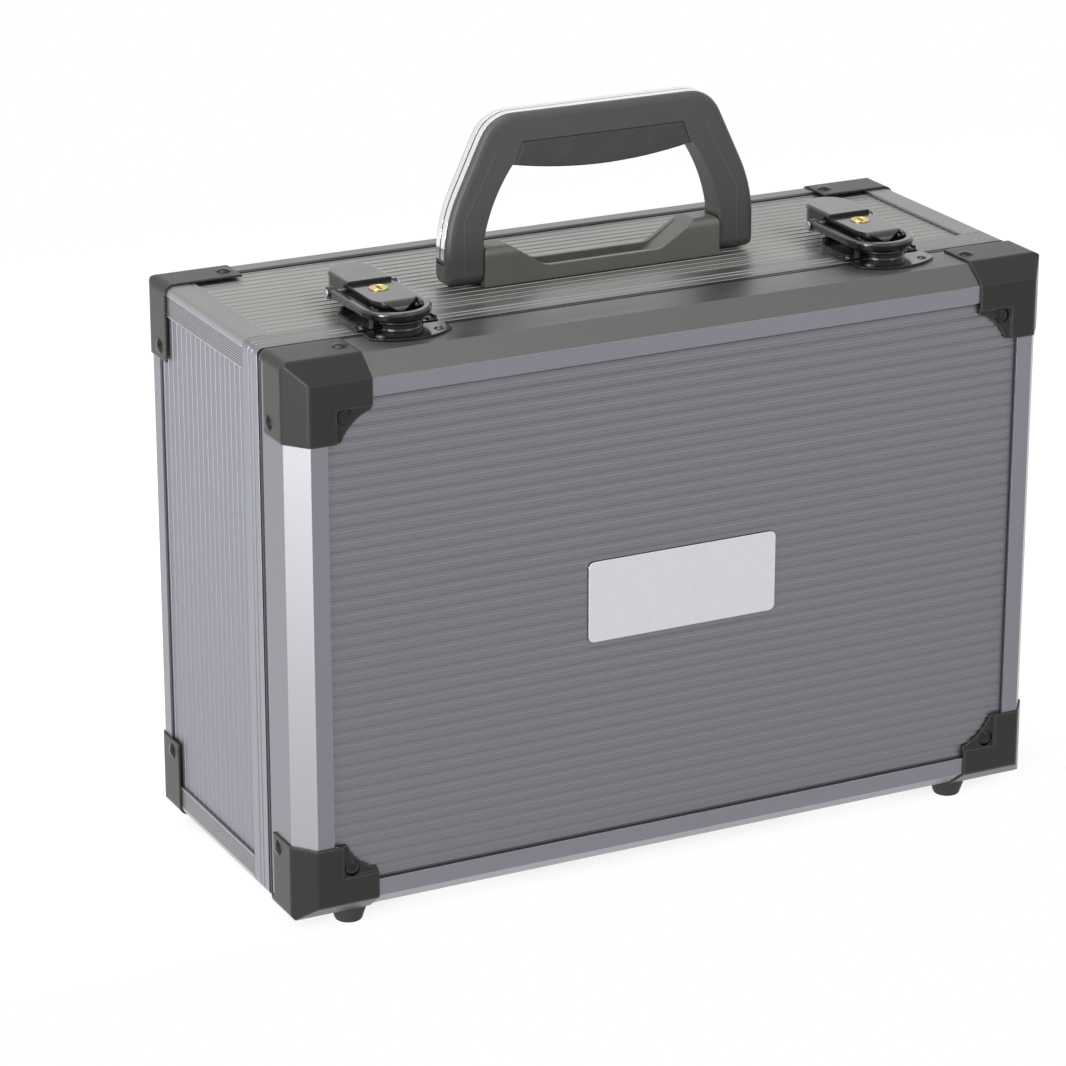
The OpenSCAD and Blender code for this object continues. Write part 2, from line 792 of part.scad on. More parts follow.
// Rivet places on one leaf of both hinges: side is -1 on the lid, 1 on the body
module hinge_rivet_places(side)
  both_sides() for (i = [-1:1])
    translate([hinge_x + i * hinge_w / 3, hinge_y + side * (leaf_w * 0.55), -fh - hinge_leaf_t])
      rotate([180, 0, 0]) children();

// One leaf with its knuckles: side is -1 on the lid, 1 on the body
module hinge_leaf(side) {
  own = side < 0 ? 1 : 0;
  y0 = side < 0 ? hinge_y - leaf_w : hinge_y;
  difference() {
    union() {
      translate([-hinge_w / 2, y0, -fh - hinge_leaf_t]) cube([hinge_w, leaf_w, hinge_leaf_t]);
      rod_x(knuckle_r, hinge_w, [0, hinge_y, hinge_z]);
    }
    for (i = [0:knuckles - 1])
      if (i % 2 != own)
        rod_x(knuckle_r + move_gap, seg + knuckle_gap * 2, [(i + 0.5) * seg - hinge_w / 2, hinge_y, hinge_z]);
    rod_x(hinge_pin_r + (side < 0 ? run_fit : 0.02), hinge_w + 2, [0, hinge_y, hinge_z]);
    translate([-hinge_w, hinge_y - leaf_w, -fh]) cube([2 * hinge_w, 2 * leaf_w, 10]);
  }
}

module lid_hinge_leaves() color("silver") lifted() difference() {
  both_sides() translate([hinge_x, 0, 0]) hinge_leaf(-1);
  hinge_rivet_places(-1) through_hole(hinge_shank + shank_gap);
}

module body_hinge_leaves() color("silver") lifted() difference() {
  both_sides() translate([hinge_x, 0, 0]) hinge_leaf(1);
  hinge_rivet_places(1) through_hole(hinge_shank + shank_gap);
}

module lid_hinge_rivets() color("silver") lifted()
  hinge_rivet_places(-1) rivet(hinge_head[0], hinge_head[1], hinge_shank, hinge_leaf_t + lid_wall + 0.8);

module body_hinge_rivets() color("silver") lifted()
  hinge_rivet_places(1) rivet(hinge_head[0], hinge_head[1], hinge_shank, hinge_leaf_t + leaf_t + 0.3);

module hinge_pins() color("silver") lifted() both_sides() {
  rod_x(hinge_pin_r, hinge_w + 0.8, [hinge_x, hinge_y, hinge_z]);
  for (s = [-1, 1]) rod_x(knuckle_r - 0.8, 1, [hinge_x + s * (hinge_w / 2 + 0.6), hinge_y, hinge_z]);
}

// ---------------------------------------------------------------- latches

// Draws a latch piece, modelled about x = 0 on the frame's top, on one side
module on_latch(s) lifted() translate([s * latch_x, 0, fh]) children();

module strike_rivet_places()
  for (s = [-1, 1], x = [-1, 1])
    translate([s * latch_x + x * strike_rivet_x, strike_rivet_y, fh + sheet_t]) children();

// Strike plate with a bowed front edge and the rimmed hook that the loop holds
module strike_plate() {
  w = plate_w / 2;
  rear = y_lid1 - plate_gap;
  bow_r = (w * w + bow_d * bow_d) / (2 * bow_d);
  r = hook_w / 2;
  difference() {
    union() {
      intersection() {
        along_z([[-w, strike_front], [w, strike_front], [w, rear], [-w, rear]], 0, sheet_t);
        translate([0, strike_front + bow_r, -1]) cylinder(r = bow_r, h = 4, $fn = 200);
      }
      intersection() {
        translate([0, strike_front + hook_in + r, 0]) rotate_extrude() polygon(concat(
          [[0, 0], [r - 0.4, 0], [r - hook_neck, sheet_t + 0.8]],
          [[r - hook_neck, hook_top - 2 * hook_rim - 0.3]],
          arc([r - hook_rim, hook_top - hook_rim], hook_rim, -90, 90, 6),
          [[0, hook_top]]
        ));
        along_z([[-w, strike_front], [w, strike_front], [w, rear - 1.4], [-w, rear - 1.4]], 0, hook_top);
      }
    }
    for (x = [-1, 1])
      translate([x * strike_rivet_x, strike_rivet_y, 0]) through_hole(small_shank + shank_gap);
  }
}

module strike_plate_left() color("black") on_latch(-1) strike_plate();

module strike_plate_right() color("black") on_latch(1) strike_plate();

module strike_rivets() color("black") lifted()
  strike_rivet_places() rivet(small_head[0], small_head[1], small_shank, sheet_t + lid_wall + 0.8);

base_rivets = [[-16.8, y_body0 + 3.4], [16.8, y_body0 + 3.4], [-6, base_back - 5], [6, base_back - 5]];

module latch_base_rivet_places()
  for (s = [-1, 1], p = base_rivets) translate([s * latch_x + p.x, p.y, fh + sheet_t]) children();

// Base plate with turned-up sides, the lever's ears and a skirt down to the panel
module latch_base() {
  w = plate_w / 2;
  y0 = y_body0 + plate_gap;
  skirt_y = y_body0 + closing_w + 0.2;
  shape = [[-w, y0], [w, y0], [w, base_back - 14], [w - 7, base_back - 3], [w - 11, base_back],
    [-w + 11, base_back], [-w + 7, base_back - 3], [-w, base_back - 14]];
  radii = [1, 1, 4, 3, 3, 3, 3, 4];
  difference() {
    union() {
      along_z(round_outline(shape, radii, 4), 0, base_rim);
      intersection() {
        along_z(round_outline(shape, radii, 4), -bead_top, 1);
        translate([-w, skirt_y, -bead_top]) cube([2 * w, base_back - skirt_y, bead_top + 1]);
      }
    }
    along_z(round_outline(inset_outline(shape, sheet_t), radii, 4), sheet_t, 4);
    intersection() {
      along_z(round_outline(inset_outline(shape, sheet_t), radii, 4), -3, 0);
      translate([-w, skirt_y + sheet_t, -3]) cube([2 * w, base_back - skirt_y, 3]);
    }
    translate([-w, y0 - 1, sheet_t]) cube([plate_w, 3.2, 4]);
    for (p = base_rivets) translate([p.x, p.y, 0]) through_hole(small_shank + shank_gap);
  }
  both_sides() difference() {
    union() {
      translate([ear_in, pivot_y - ear_r, 0.5]) cube([ear_t, 2 * ear_r, pivot_z - 0.5]);
      rod_x(ear_r, ear_t, [ear_in + ear_t / 2, pivot_y, pivot_z]);
    }
    rod_x(pivot_pin_r + 0.02, through, [0, pivot_y, pivot_z]);
  }
}

module latch_base_left() color("black") on_latch(-1) latch_base();

module latch_base_right() color("black") on_latch(1) latch_base();

module latch_base_rivets() color("black") lifted()
  latch_base_rivet_places() rivet(small_head[0], small_head[1], small_shank, sheet_t + leaf_t + 0.6);

module lever_pins() color("silver")
  for (s = [-1, 1]) on_latch(s) rod_x(pivot_pin_r, 2 * ear_out, [0, pivot_y, pivot_z]);

// Plan outline of the lever: two round ends, drawn smaller by d
module lever_plan(d, z0, z1) translate([0, 0, z0]) linear_extrude(z1 - z0) {
  r = lever_r - d;
  translate([0, lever_front + lever_r]) circle(r);
  translate([0, lever_front + lever_len - lever_r]) circle(r);
  translate([-r, lever_front + lever_r]) square([2 * r, lever_len - lever_w]);
}

// Side outline of the lever with its rounded nose, lowered by d
module lever_side(d) {
  rear = lever_front + lever_len + 1;
  along_x(concat(
    [[rear, 0], [rear, lever_top - d]],
    arc([lever_front + nose_r, lever_top - nose_r], nose_r - d, 90, 180, 8),
    [[lever_front + d, 0]]
  ), lever_w + 2);
}

module latch_lever() difference() {
  intersection() {
    lever_plan(0, lever_low, lever_top);
    lever_side(0);
  }
  intersection() {
    lever_plan(lever_wall, lever_low - 1, lever_top);
    lever_side(lever_roof);
  }
  rod_x(pivot_pin_r + run_fit, through, [0, pivot_y, pivot_z]);
  rod_x(loop_pin_r + 0.02, through, [0, loop_pin_y, loop_mid]);
  translate([0, key_y, 0]) through_hole(key_r + run_fit);
}

module latch_lever_left() color("black") on_latch(-1) latch_lever();

module latch_lever_right() color("black") on_latch(1) latch_lever();

// Raised pad on the lever's rear end, rounded along its edge
module thumb_pad() {
  r = lever_r + 0.4;
  cy = lever_front + lever_len - lever_r;
  section = concat(
    [[0, 0], [r, 0], [r, pad_h * 0.35]],
    arc([r - pad_h * 0.65, pad_h * 0.35], pad_h * 0.65, 0, 90, 6),
    [[0, pad_h]]
  );
  translate([0, 0, lever_top]) {
    intersection() {
      translate([0, cy, 0]) rotate_extrude() polygon(section);
      translate([-lever_w, cy, -1]) cube([2 * lever_w, lever_w, 10]);
    }
    translate([0, cy, 0]) rotate([90, 0, 0]) linear_extrude(cy - pad_y)
      polygon(concat(section, mirrored(section)));
  }
}

module thumb_pad_left() color("black") on_latch(-1) thumb_pad();

module thumb_pad_right() color("black") on_latch(1) thumb_pad();

module loop_pin() {
  rod_x(loop_pin_r, 2 * loop_out + 1.2, [0, loop_pin_y, loop_mid]);
  for (s = [-1, 1]) rod_x(pin_head_r, pin_head_t, [s * (loop_out + 0.7), loop_pin_y, loop_mid]);
}

module loop_pin_left() color("silver") on_latch(-1) loop_pin();

module loop_pin_right() color("silver") on_latch(1) loop_pin();

// Pressed loop: a half ring at the front, two bars and an eye at each end
loop_section = concat(
  [[loop_in, loop_low + loop_bevel], [loop_in + loop_bevel, loop_low]],
  [[loop_out - 1.2, loop_low], [loop_out - 0.4, loop_low + 0.6]],
  arc([loop_out - loop_round, loop_low + loop_h - loop_round], loop_round, 0, 90, 5),
  [[loop_in + 0.5, loop_low + loop_h], [loop_in, loop_low + loop_h - 0.5]]
);

module latch_loop() difference() {
  union() {
    intersection() {
      translate([0, loop_cy, 0]) rotate_extrude() polygon(loop_section);
      translate([-through / 2, loop_cy - through, -1]) cube([through, through, through]);
    }
    both_sides() {
      translate([0, loop_pin_y, 0]) rotate([90, 0, 0]) linear_extrude(loop_pin_y - loop_cy)
        polygon(loop_section);
      rod_x(eye_r, loop_bar, [loop_in + loop_bar / 2, loop_pin_y, loop_mid]);
    }
  }
  rod_x(loop_pin_r + run_fit, through, [0, loop_pin_y, loop_mid]);
}

module latch_loop_left() color("black") on_latch(-1) latch_loop();

module latch_loop_right() color("black") on_latch(1) latch_loop();

// Key core with its keyway and the cam at its foot
module key_core() translate([0, key_y, 0]) {
  difference() {
    translate([0, 0, key_low]) cylinder(r = key_r, h = lever_top + key_proud - key_low);
    translate([-keyway_w / 2, -key_r * 0.62, lever_top - keyway_deep])
      cube([keyway_w, key_r * 1.24, 2 * keyway_deep]);
  }
  translate([-cam_w / 2, -cam_w / 2, key_low - 1]) cube([cam_w, key_r * 2, cam_t]);
}

module key_core_left() color("goldenrod") on_latch(-1) key_core();

module key_core_right() color("goldenrod") on_latch(1) key_core();

// ---------------------------------------------------------------- handle

module handle_screw_places()
  for (x = [-1, 1], y = [-1, 1]) translate([x * base_w / 3, handle_y + y * base_d / 4, fh]) children();

base_half = base_w / 2;
base_outline = [[-base_half, 0], [base_half, 0], [base_half, lug_h], [base_half - lug_top_w, lug_h],
  [base_half - lug_foot_w, rim_h], [-base_half + lug_foot_w, rim_h],
  [-base_half + lug_top_w, lug_h], [-base_half, lug_h]];
// The trough keeps one wall inside the lugs' slopes
trough_foot_x = base_half - lug_foot_w - trough_wall;
trough_top_x = base_half - lug_top_w - trough_wall;
trough_outline = [[-trough_foot_x, trough_floor], [trough_foot_x, trough_floor], [trough_top_x, lug_h - 3],
  [trough_top_x + 2, lug_h + 2], [-trough_top_x - 2, lug_h + 2], [-trough_top_x, lug_h - 3]];

// Base moulding: two lugs, sloping shoulders and a trough between two rims
module handle_base() color("dimgray") lifted() translate([0, 0, panel_z]) difference() {
  intersection() {
    along_y(round_outline(base_outline, [0, 0, 3, 2.5, 10, 10, 2.5, 3], 6),
      handle_y - base_d / 2, handle_y + base_d / 2);
    along_x(round_outline([[handle_y - base_d / 2, 0], [handle_y + base_d / 2, 0],
      [handle_y + base_d / 2, lug_h], [handle_y - base_d / 2, lug_h]], [0, 0, base_edge_r, base_edge_r], 6),
      base_w + 2);
  }
  along_y(round_outline(trough_outline, [3, 3, 4, 1, 1, 4], 5),
    handle_y - base_d / 2 + trough_rim, handle_y + base_d / 2 - trough_rim);
  both_sides() rod_x(handle_pin_r + 0.02, 24, [base_w / 2, handle_y, handle_pivot_z - panel_z]);
  for (x = [-1, 1], y = [-1, 1])
    translate([x * base_w / 3, handle_y + y * base_d / 4, -1]) cylinder(r = screw_r + shank_gap, h = 7.5);
}

module handle_pins() color("silver") lifted()
  both_sides() rod_x(handle_pin_r, 23, [base_w / 2, handle_y, handle_pivot_z]);

module handle_backing_plate() color("silver") lifted() difference() {
  translate([-base_w * 0.42, handle_y - backing_w / 2, fh - core_in + 0.05])
    cube([base_w * 0.84, backing_w, inner_leaf - 0.1]);
  handle_screw_places() through_hole(screw_r + shank_gap);
}

module handle_screws() color("silver") lifted()
  handle_screw_places() translate([0, 0, -core_in]) mirror([0, 0, 1])
    rivet(screw_head[0], screw_head[1], screw_r, core_in + 4);

// Outer outline of the handle, seen from the front
leg_low = handle_pivot_z - leg_end_r + leg_flat - hh;
grip_outline = [
  [-handle_w / 2, leg_low], [handle_w / 2, leg_low],
  [handle_w / 2, handle_h - 50.5], [handle_w / 2 - 23.9, handle_h],
  [-handle_w / 2 + 23.9, handle_h], [-handle_w / 2, handle_h - 50.5]
];
grip_radii = [5, 5, 70, 18, 18, 70];

function grip_at(d) =
  round_outline(inset_outline(grip_outline, d), [for (r = grip_radii) max(r - d, 0.5)], 7);

// Opening for the fingers: bowed sides and a belly that hangs down
side_arc_r = 84;
side_low_a = 10;
side_arc_c = [leg_in - side_arc_r * cos(side_low_a), 5.3];
side_top_a = asin((grip_z - side_arc_c.y) / side_arc_r);
corner_x = side_arc_c.x + side_arc_r * cos(side_top_a);
belly_r = (corner_x * corner_x + belly * belly) / (2 * belly);
belly_a = asin(corner_x / belly_r);
side_points = concat([[leg_in, -20]], arc(side_arc_c, side_arc_r, side_low_a, side_top_a, 10));
belly_points = arc([0, grip_z - belly + belly_r], belly_r, 270 + belly_a, 270 - belly_a, 16);
opening_points = concat(side_points, belly_points, mirrored(side_points));

// Soft insert on the grip's belly
insert_outline = concat(
  [[corner_x - 5.6, insert_top], [-corner_x + 5.6, insert_top]],
  [for (i = [len(belly_points) - 1:-1:0]) let (p = belly_points[i]) p - [sign(p.x) * 1.2, 0.3]]
);

module handle_slab(pts, y0, y1) lifted() translate([0, handle_y, hh]) along_y(pts, y0, y1);

module handle_grip() color("dimgray") difference() {
  intersection() {
    hull() for (a = [0, 30, 60, 90]) {
      y = handle_t / 2 - grip_edge_r * (1 - sin(a));
      handle_slab(grip_at(grip_edge_r * (1 - cos(a))), -y, y);
    }
    lifted() union() {
      rod_x(leg_end_r, case_w, [0, handle_y, handle_pivot_z]);
      translate([-hw, handle_y - handle_t, handle_pivot_z]) cube([case_w, 2 * handle_t, handle_h + 10]);
    }
  }
  handle_slab(opening_points, -case_d, case_d);
  handle_slab(inset_outline(insert_outline, -insert_gap), -case_d, case_d);
  for (s = [-1, 1]) {
    trim_strip(s, -1.5, trim_deep + 0.05, 0.05);
    lifted() translate([s * handle_w / 2, handle_y, notch_z])
      cube([2 * notch_deep, 2 * trim_w + trim_split, notch_h], center = true);
  }
  lifted() both_sides() rod_x(handle_pin_r + run_fit, 24, [base_w / 2, handle_y, handle_pivot_z]);
}

module grip_insert() color("gray") hull() for (a = [0, 45, 90]) {
  y = handle_t / 2 + insert_proud - insert_edge_r * (1 - sin(a));
  handle_slab(inset_outline(insert_outline, insert_edge_r * (1 - cos(a))), -y, y);
}

// Strip along the handle's outer edge between two insets, widened by g
module trim_strip(s, in0, in1, g) {
  mid = s * (trim_split + trim_w) / 2;
  intersection() {
    difference() {
      handle_slab(grip_at(in0), mid - trim_w / 2 - g, mid + trim_w / 2 + g);
      handle_slab(grip_at(in1), mid - trim_w, mid + trim_w);
    }
    lifted() translate([-case_w, -case_d, trim_end_z - g]) cube([2 * case_w, 2 * case_d, case_h]);
  }
}

module chrome_trim_front() color("white") trim_strip(-1, -trim_proud, trim_deep, 0);

module chrome_trim_rear() color("white") trim_strip(1, -trim_proud, trim_deep, 0);

// ---------------------------------------------------------------- nodes

lid_sheet();
lid_board();
lid_frame();
lid_corner_caps();
lid_cap_rivets();
badge_plate();
lid_lining();
strike_plate_left();
strike_plate_right();
strike_rivets();
front_feet();
front_foot_screws();
lid_hinge_leaves();
lid_hinge_rivets();
back_sheet();
top_sheet();
bottom_sheet();
left_sheet();
right_sheet();
body_boards();
closing_frame();
rear_frame();
edge_profiles();
rear_corner_caps();
rear_cap_rivets();
rim_seal();
body_lining();
rear_feet();
rear_foot_screws();
body_hinge_leaves();
body_hinge_rivets();
hinge_pins();
latch_base_left();
latch_base_right();
latch_base_rivets();
lever_pins();
handle_base();
handle_backing_plate();
handle_screws();
handle_pins();
handle_grip();
grip_insert();
chrome_trim_front();
chrome_trim_rear();
latch_lever_left();
thumb_pad_left();
loop_pin_left();
latch_loop_left();
key_core_left();
latch_lever_right();
thumb_pad_right();
loop_pin_right();
latch_loop_right();
key_core_right();
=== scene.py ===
"""Looks of a hard tool case: an aluminium frame case with a front lid, toggle latches and a handle.

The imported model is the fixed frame. Its solids keep their meshes and get their finishes here. The felt
linings and the faces of the locks are modelled in their places. All sizes are in metres.
"""

import logging
import math
from dataclasses import dataclass, field
from enum import Enum, StrEnum
from typing import Callable, Sequence

import bmesh
import bpy
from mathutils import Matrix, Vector


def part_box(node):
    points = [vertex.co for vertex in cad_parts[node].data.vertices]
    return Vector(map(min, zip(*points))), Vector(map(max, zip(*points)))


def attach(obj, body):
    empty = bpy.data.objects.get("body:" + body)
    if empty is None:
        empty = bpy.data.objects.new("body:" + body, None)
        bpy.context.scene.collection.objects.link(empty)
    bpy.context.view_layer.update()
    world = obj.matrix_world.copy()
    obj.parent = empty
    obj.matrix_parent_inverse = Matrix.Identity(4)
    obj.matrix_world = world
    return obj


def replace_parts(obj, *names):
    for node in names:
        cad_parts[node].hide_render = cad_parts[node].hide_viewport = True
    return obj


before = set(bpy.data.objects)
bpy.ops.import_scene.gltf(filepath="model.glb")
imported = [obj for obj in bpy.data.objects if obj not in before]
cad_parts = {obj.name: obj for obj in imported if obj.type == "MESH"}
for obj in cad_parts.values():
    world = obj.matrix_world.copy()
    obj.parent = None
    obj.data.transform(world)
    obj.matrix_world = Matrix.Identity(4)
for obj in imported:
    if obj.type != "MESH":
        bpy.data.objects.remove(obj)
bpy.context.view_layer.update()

log = logging.getLogger("tool_case")

MM = 0.001
TOUCHING = 0.01 * MM  # a point this near a face lies on it
FACING = 0.9  # part of a unit normal or direction from which it counts as along an axis
WELD = 0.001 * MM  # points nearer than this are made one
SMOOTH_ANGLE = 35  # degrees between faces that are shaded as one
Colour = tuple[float, float, float]
Point = tuple[float, float, float]
Span = tuple[float, float]
Size = tuple[float, float]


class Run(Enum):
    """The way a drawn, brushed or beaded surface runs."""

    ALONG_X = (1, 0, 0)
    ALONG_Y = (0, 1, 0)
    ALONG_Z = (0, 0, 1)


class Axis(StrEnum):
    """An axis of the object's own coordinates, as a Separate XYZ node names it."""

    X = "X"
    Y = "Y"
    Z = "Z"


class Pick(StrEnum):
    """What is picked on a mesh, as the select mode names it."""

    FACE = "FACE"
    EDGE = "EDGE"


class Side(StrEnum):
    """A latch's side of the handle, as the nodes' names have it."""

    LEFT = "left"
    RIGHT = "right"


def tinted(tone: Colour, factor: float, lift: float = 0.0) -> Colour:
    """A tone times a factor, with a lift added and kept within 1."""
    return tuple(min(1.0, c * factor + lift) for c in tone)


# ---- shader maths


class Value:
    """A number that changes over a surface. Python's operators on it add Math nodes."""

    def __init__(self, graph: "Graph", socket: bpy.types.NodeSocket) -> None:
        """Wraps a socket.

        Args:
            graph: The material's graph that the socket belongs to.
            socket: The output socket that gives the number.
        """
        self.graph = graph
        self.socket = socket

    def _math(self, operation: str, *others: "Value | float", first: bool = True) -> "Value":
        """Adds a Math node.

        Args:
            operation: The Math node's operation.
            *others: The other operands.
            first: Whether this value is the first operand.

        Returns:
            The node's result.
        """
        operands = [self, *others] if first else [*others, self]
        return self.graph.value("ShaderNodeMath", {"operation": operation}, dict(enumerate(operands)))

    def __add__(self, other: "Value | float") -> "Value":
        """Sum."""
        return self._math("ADD", other)

    __radd__ = __add__

    def __sub__(self, other: "Value | float") -> "Value":
        """Difference."""
        return self._math("SUBTRACT", other)

    def __rsub__(self, other: "Value | float") -> "Value":
        """Difference with this value taken off."""
        return self._math("SUBTRACT", other, first=False)

    def __mul__(self, other: "Value | float") -> "Value":
        """Product."""
        return self._math("MULTIPLY", other)

    __rmul__ = __mul__

    def __truediv__(self, other: "Value | float") -> "Value":
        """Quotient."""
        return self._math("DIVIDE", other)

    def __rtruediv__(self, other: "Value | float") -> "Value":
        """Quotient with this value as the divisor."""
        return self._math("DIVIDE", other, first=False)

    def __abs__(self) -> "Value":
        """Size without sign."""
        return self._math("ABSOLUTE")

    def fraction(self) -> "Value":
        """Part after the point."""
        return self._math("FRACT")

    def at_least(self, other: "Value | float") -> "Value":
        """The larger of two values."""
        return self._math("MAXIMUM", other)

    def over(self, other: "Value | float") -> "Value":
        """1 where this value is the larger, and 0 elsewhere."""
        return self._math("GREATER_THAN", other)

    def ramp(self, low: float, high: float) -> "Value":
        """Smooth step from 0 to 1.

        Args:
            low: Where the step starts. It may be above high, and the step then falls.
            high: Where the step ends.

        Returns:
            The stepped value.
        """
        rising = high > low
        inputs = {"Value": self, "From Min": min(low, high), "From Max": max(low, high)}
        inputs |= {"To Min": 0.0 if rising else 1.0, "To Max": 1.0 if rising else 0.0}
        return self.graph.value("ShaderNodeMapRange", {"interpolation_type": "SMOOTHSTEP"}, inputs)


class Graph:
    """The node tree of one material."""

    UPWARD = (0.45, 0.75)  # upward part of the normal: none, full
    SLANTED = (0.25, 0.42)  # product of the normal's two level parts: none, full
    OPEN = (0.8, 0.2)  # open share of the surroundings: unshaded, fully shaded
    TURNED = (0.01, 0.13)  # 1 minus the cosine of the rounded normal's turn: no edge, edge
    SAMPLES = 6  # rays for each look at the surroundings

    def __init__(self, name: str) -> None:
        """Starts a material with an empty tree.

        Args:
            name: The material's name.
        """
        self.material = bpy.data.materials.new(name)
        self.material.use_nodes = True
        self.tree = self.material.node_tree
        self.tree.nodes.clear()
        self._place: bpy.types.NodeSocket | None = None

    def node(self, kind: str, settings: dict[str, object], inputs: dict[object, object]) -> bpy.types.Node:
        """Adds a node.

        Args:
            kind: The node's type.
            settings: Its own settings, which are made first.
            inputs: Values, colours or links, by socket name or number.

        Returns:
            The new node.
        """
        made = self.tree.nodes.new(kind)
        for name, setting in settings.items():
            setattr(made, name, setting)
        for key, given in inputs.items():
            socket = made.inputs[key]
            if isinstance(given, Value):
                self.tree.links.new(given.socket, socket)
            elif isinstance(given, bpy.types.NodeSocket):
                self.tree.links.new(given, socket)
            else:
                socket.default_value = given
        return made

    def value(
        self, kind: str, settings: dict[str, object], inputs: dict[object, object], out: object = 0
    ) -> Value:
        """Adds a node and wraps one of its outputs as a value."""
        return Value(self, self.node(kind, settings, inputs).outputs[out])

    def place(self) -> bpy.types.NodeSocket:
        """Looks up the point in the object's own coordinates, with one node for each material.

        Returns:
            The vector socket.
        """
        if self._place is None:
            self._place = self.node("ShaderNodeTexCoord", {}, {}).outputs["Object"]
        return self._place

    def axis(self, axis: Axis) -> Value:
        """One coordinate of the point."""
        return self.value("ShaderNodeSeparateXYZ", {}, {0: self.place()}, axis.value)

    def stretched(self, scale: Point) -> bpy.types.NodeSocket:
        """The point scaled on each axis."""
        inputs = {"Vector": self.place(), "Scale": scale}
        return self.node("ShaderNodeMapping", {"vector_type": "POINT"}, inputs).outputs[0]

    def noise(
        self, scale: float, detail: float, rough: float = 0.5, at: bpy.types.NodeSocket | None = None
    ) -> Value:
        """Smooth noise from 0 to 1.

        Args:
            scale: Cycles for each unit.
            detail: Number of finer layers.
            rough: Weight of the finer layers.
            at: The point to look it up at, which is the object's own where none is given.

        Returns:
            The noise.
        """
        inputs = {"Vector": at or self.place(), "Scale": scale, "Detail": detail, "Roughness": rough}
        return self.value("ShaderNodeTexNoise", {}, inputs, "Fac")

    def streaks(self, run: Run, across: float, along: float) -> Value:
        """Noise drawn out along one way, as brushing or drawing leaves it.

        Args:
            run: The way the streaks run.
            across: Width of a streak.
            along: Length of a streak.

        Returns:
            The noise, from 0 to 1.
        """
        scale = tuple(1 / along if way else 1 / across for way in run.value)
        return self.noise(scale=1.0, detail=2.0, at=self.stretched(scale))

    def mix(self, share: Value | float, low: object, high: object) -> bpy.types.NodeSocket:
        """Blends two colours.

        Args:
            share: 0 for low and 1 for high.
            low: A colour or a colour socket.
            high: A colour or a colour socket.

        Returns:
            The blended colour's socket.
        """
        ends = [(*c, 1.0) if isinstance(c, tuple) else c for c in (low, high)]
        made = self.node("ShaderNodeMix", {"data_type": "RGBA"}, {0: share, 6: ends[0], 7: ends[1]})
        return made.outputs[2]

    def upward(self) -> Value:
        """1 on faces that look up in the object's own coordinates."""
        normal = self.node("ShaderNodeTexCoord", {}, {}).outputs["Normal"]
        return self.value("ShaderNodeSeparateXYZ", {}, {0: normal}, "Z").ramp(*self.UPWARD)

    def slanted(self) -> Value:
        """Finds upright faces that stand aslant between the front and a side.

        Returns:
            1 on those faces, and 0 on faces that look along an axis.
        """
        normal = self.node("ShaderNodeTexCoord", {}, {}).outputs["Normal"]
        parts = self.node("ShaderNodeSeparateXYZ", {}, {0: normal}).outputs
        return (abs(Value(self, parts["X"])) * abs(Value(self, parts["Y"]))).ramp(*self.SLANTED)

    def crevice(self, reach: float) -> Value:
        """How deep in a corner or beside another piece a point lies, from 0 to 1."""
        made = self.node("ShaderNodeAmbientOcclusion", {"samples": self.SAMPLES}, {"Distance": reach})
        return Value(self, made.outputs["AO"]).ramp(*self.OPEN)

    def rounded(self, radius: float) -> bpy.types.NodeSocket:
        """Normal that is turned near edges as if they were rounded."""
        return self.node("ShaderNodeBevel", {"samples": self.SAMPLES}, {"Radius": radius}).outputs[0]

    def edges(self, normal: bpy.types.NodeSocket) -> Value:
        """Finds the edges by how far the rounded normal is turned.

        Args:
            normal: The rounded normal.

        Returns:
            How near an edge is, from 0 to 1.
        """
        true = self.node("ShaderNodeNewGeometry", {}, {}).outputs["True Normal"]
        dot = self.value("ShaderNodeVectorMath", {"operation": "DOT_PRODUCT"}, {0: normal, 1: true}, "Value")
        return (1 - dot).ramp(*self.TURNED)

    def bump(self, height: Value, depth: float, normal: bpy.types.NodeSocket) -> bpy.types.NodeSocket:
        """Normal with relief on it.

        Args:
            height: The relief, from 0 to 1.
            depth: Its real depth.
            normal: The normal under it.

        Returns:
            The new normal.
        """
        inputs = {"Strength": 1.0, "Distance": depth, "Height": height, "Normal": normal}
        return self.node("ShaderNodeBump", {}, inputs).outputs[0]


@dataclass
class Surface:
    """What a finish works out for one material."""

    colour: object
    roughness: Value | float
    metallic: Value | float = 0.0
    relief: list[tuple[Value, float]] = field(default_factory=list)
    constants: dict[str, float] = field(default_factory=dict)


# ---- finishes


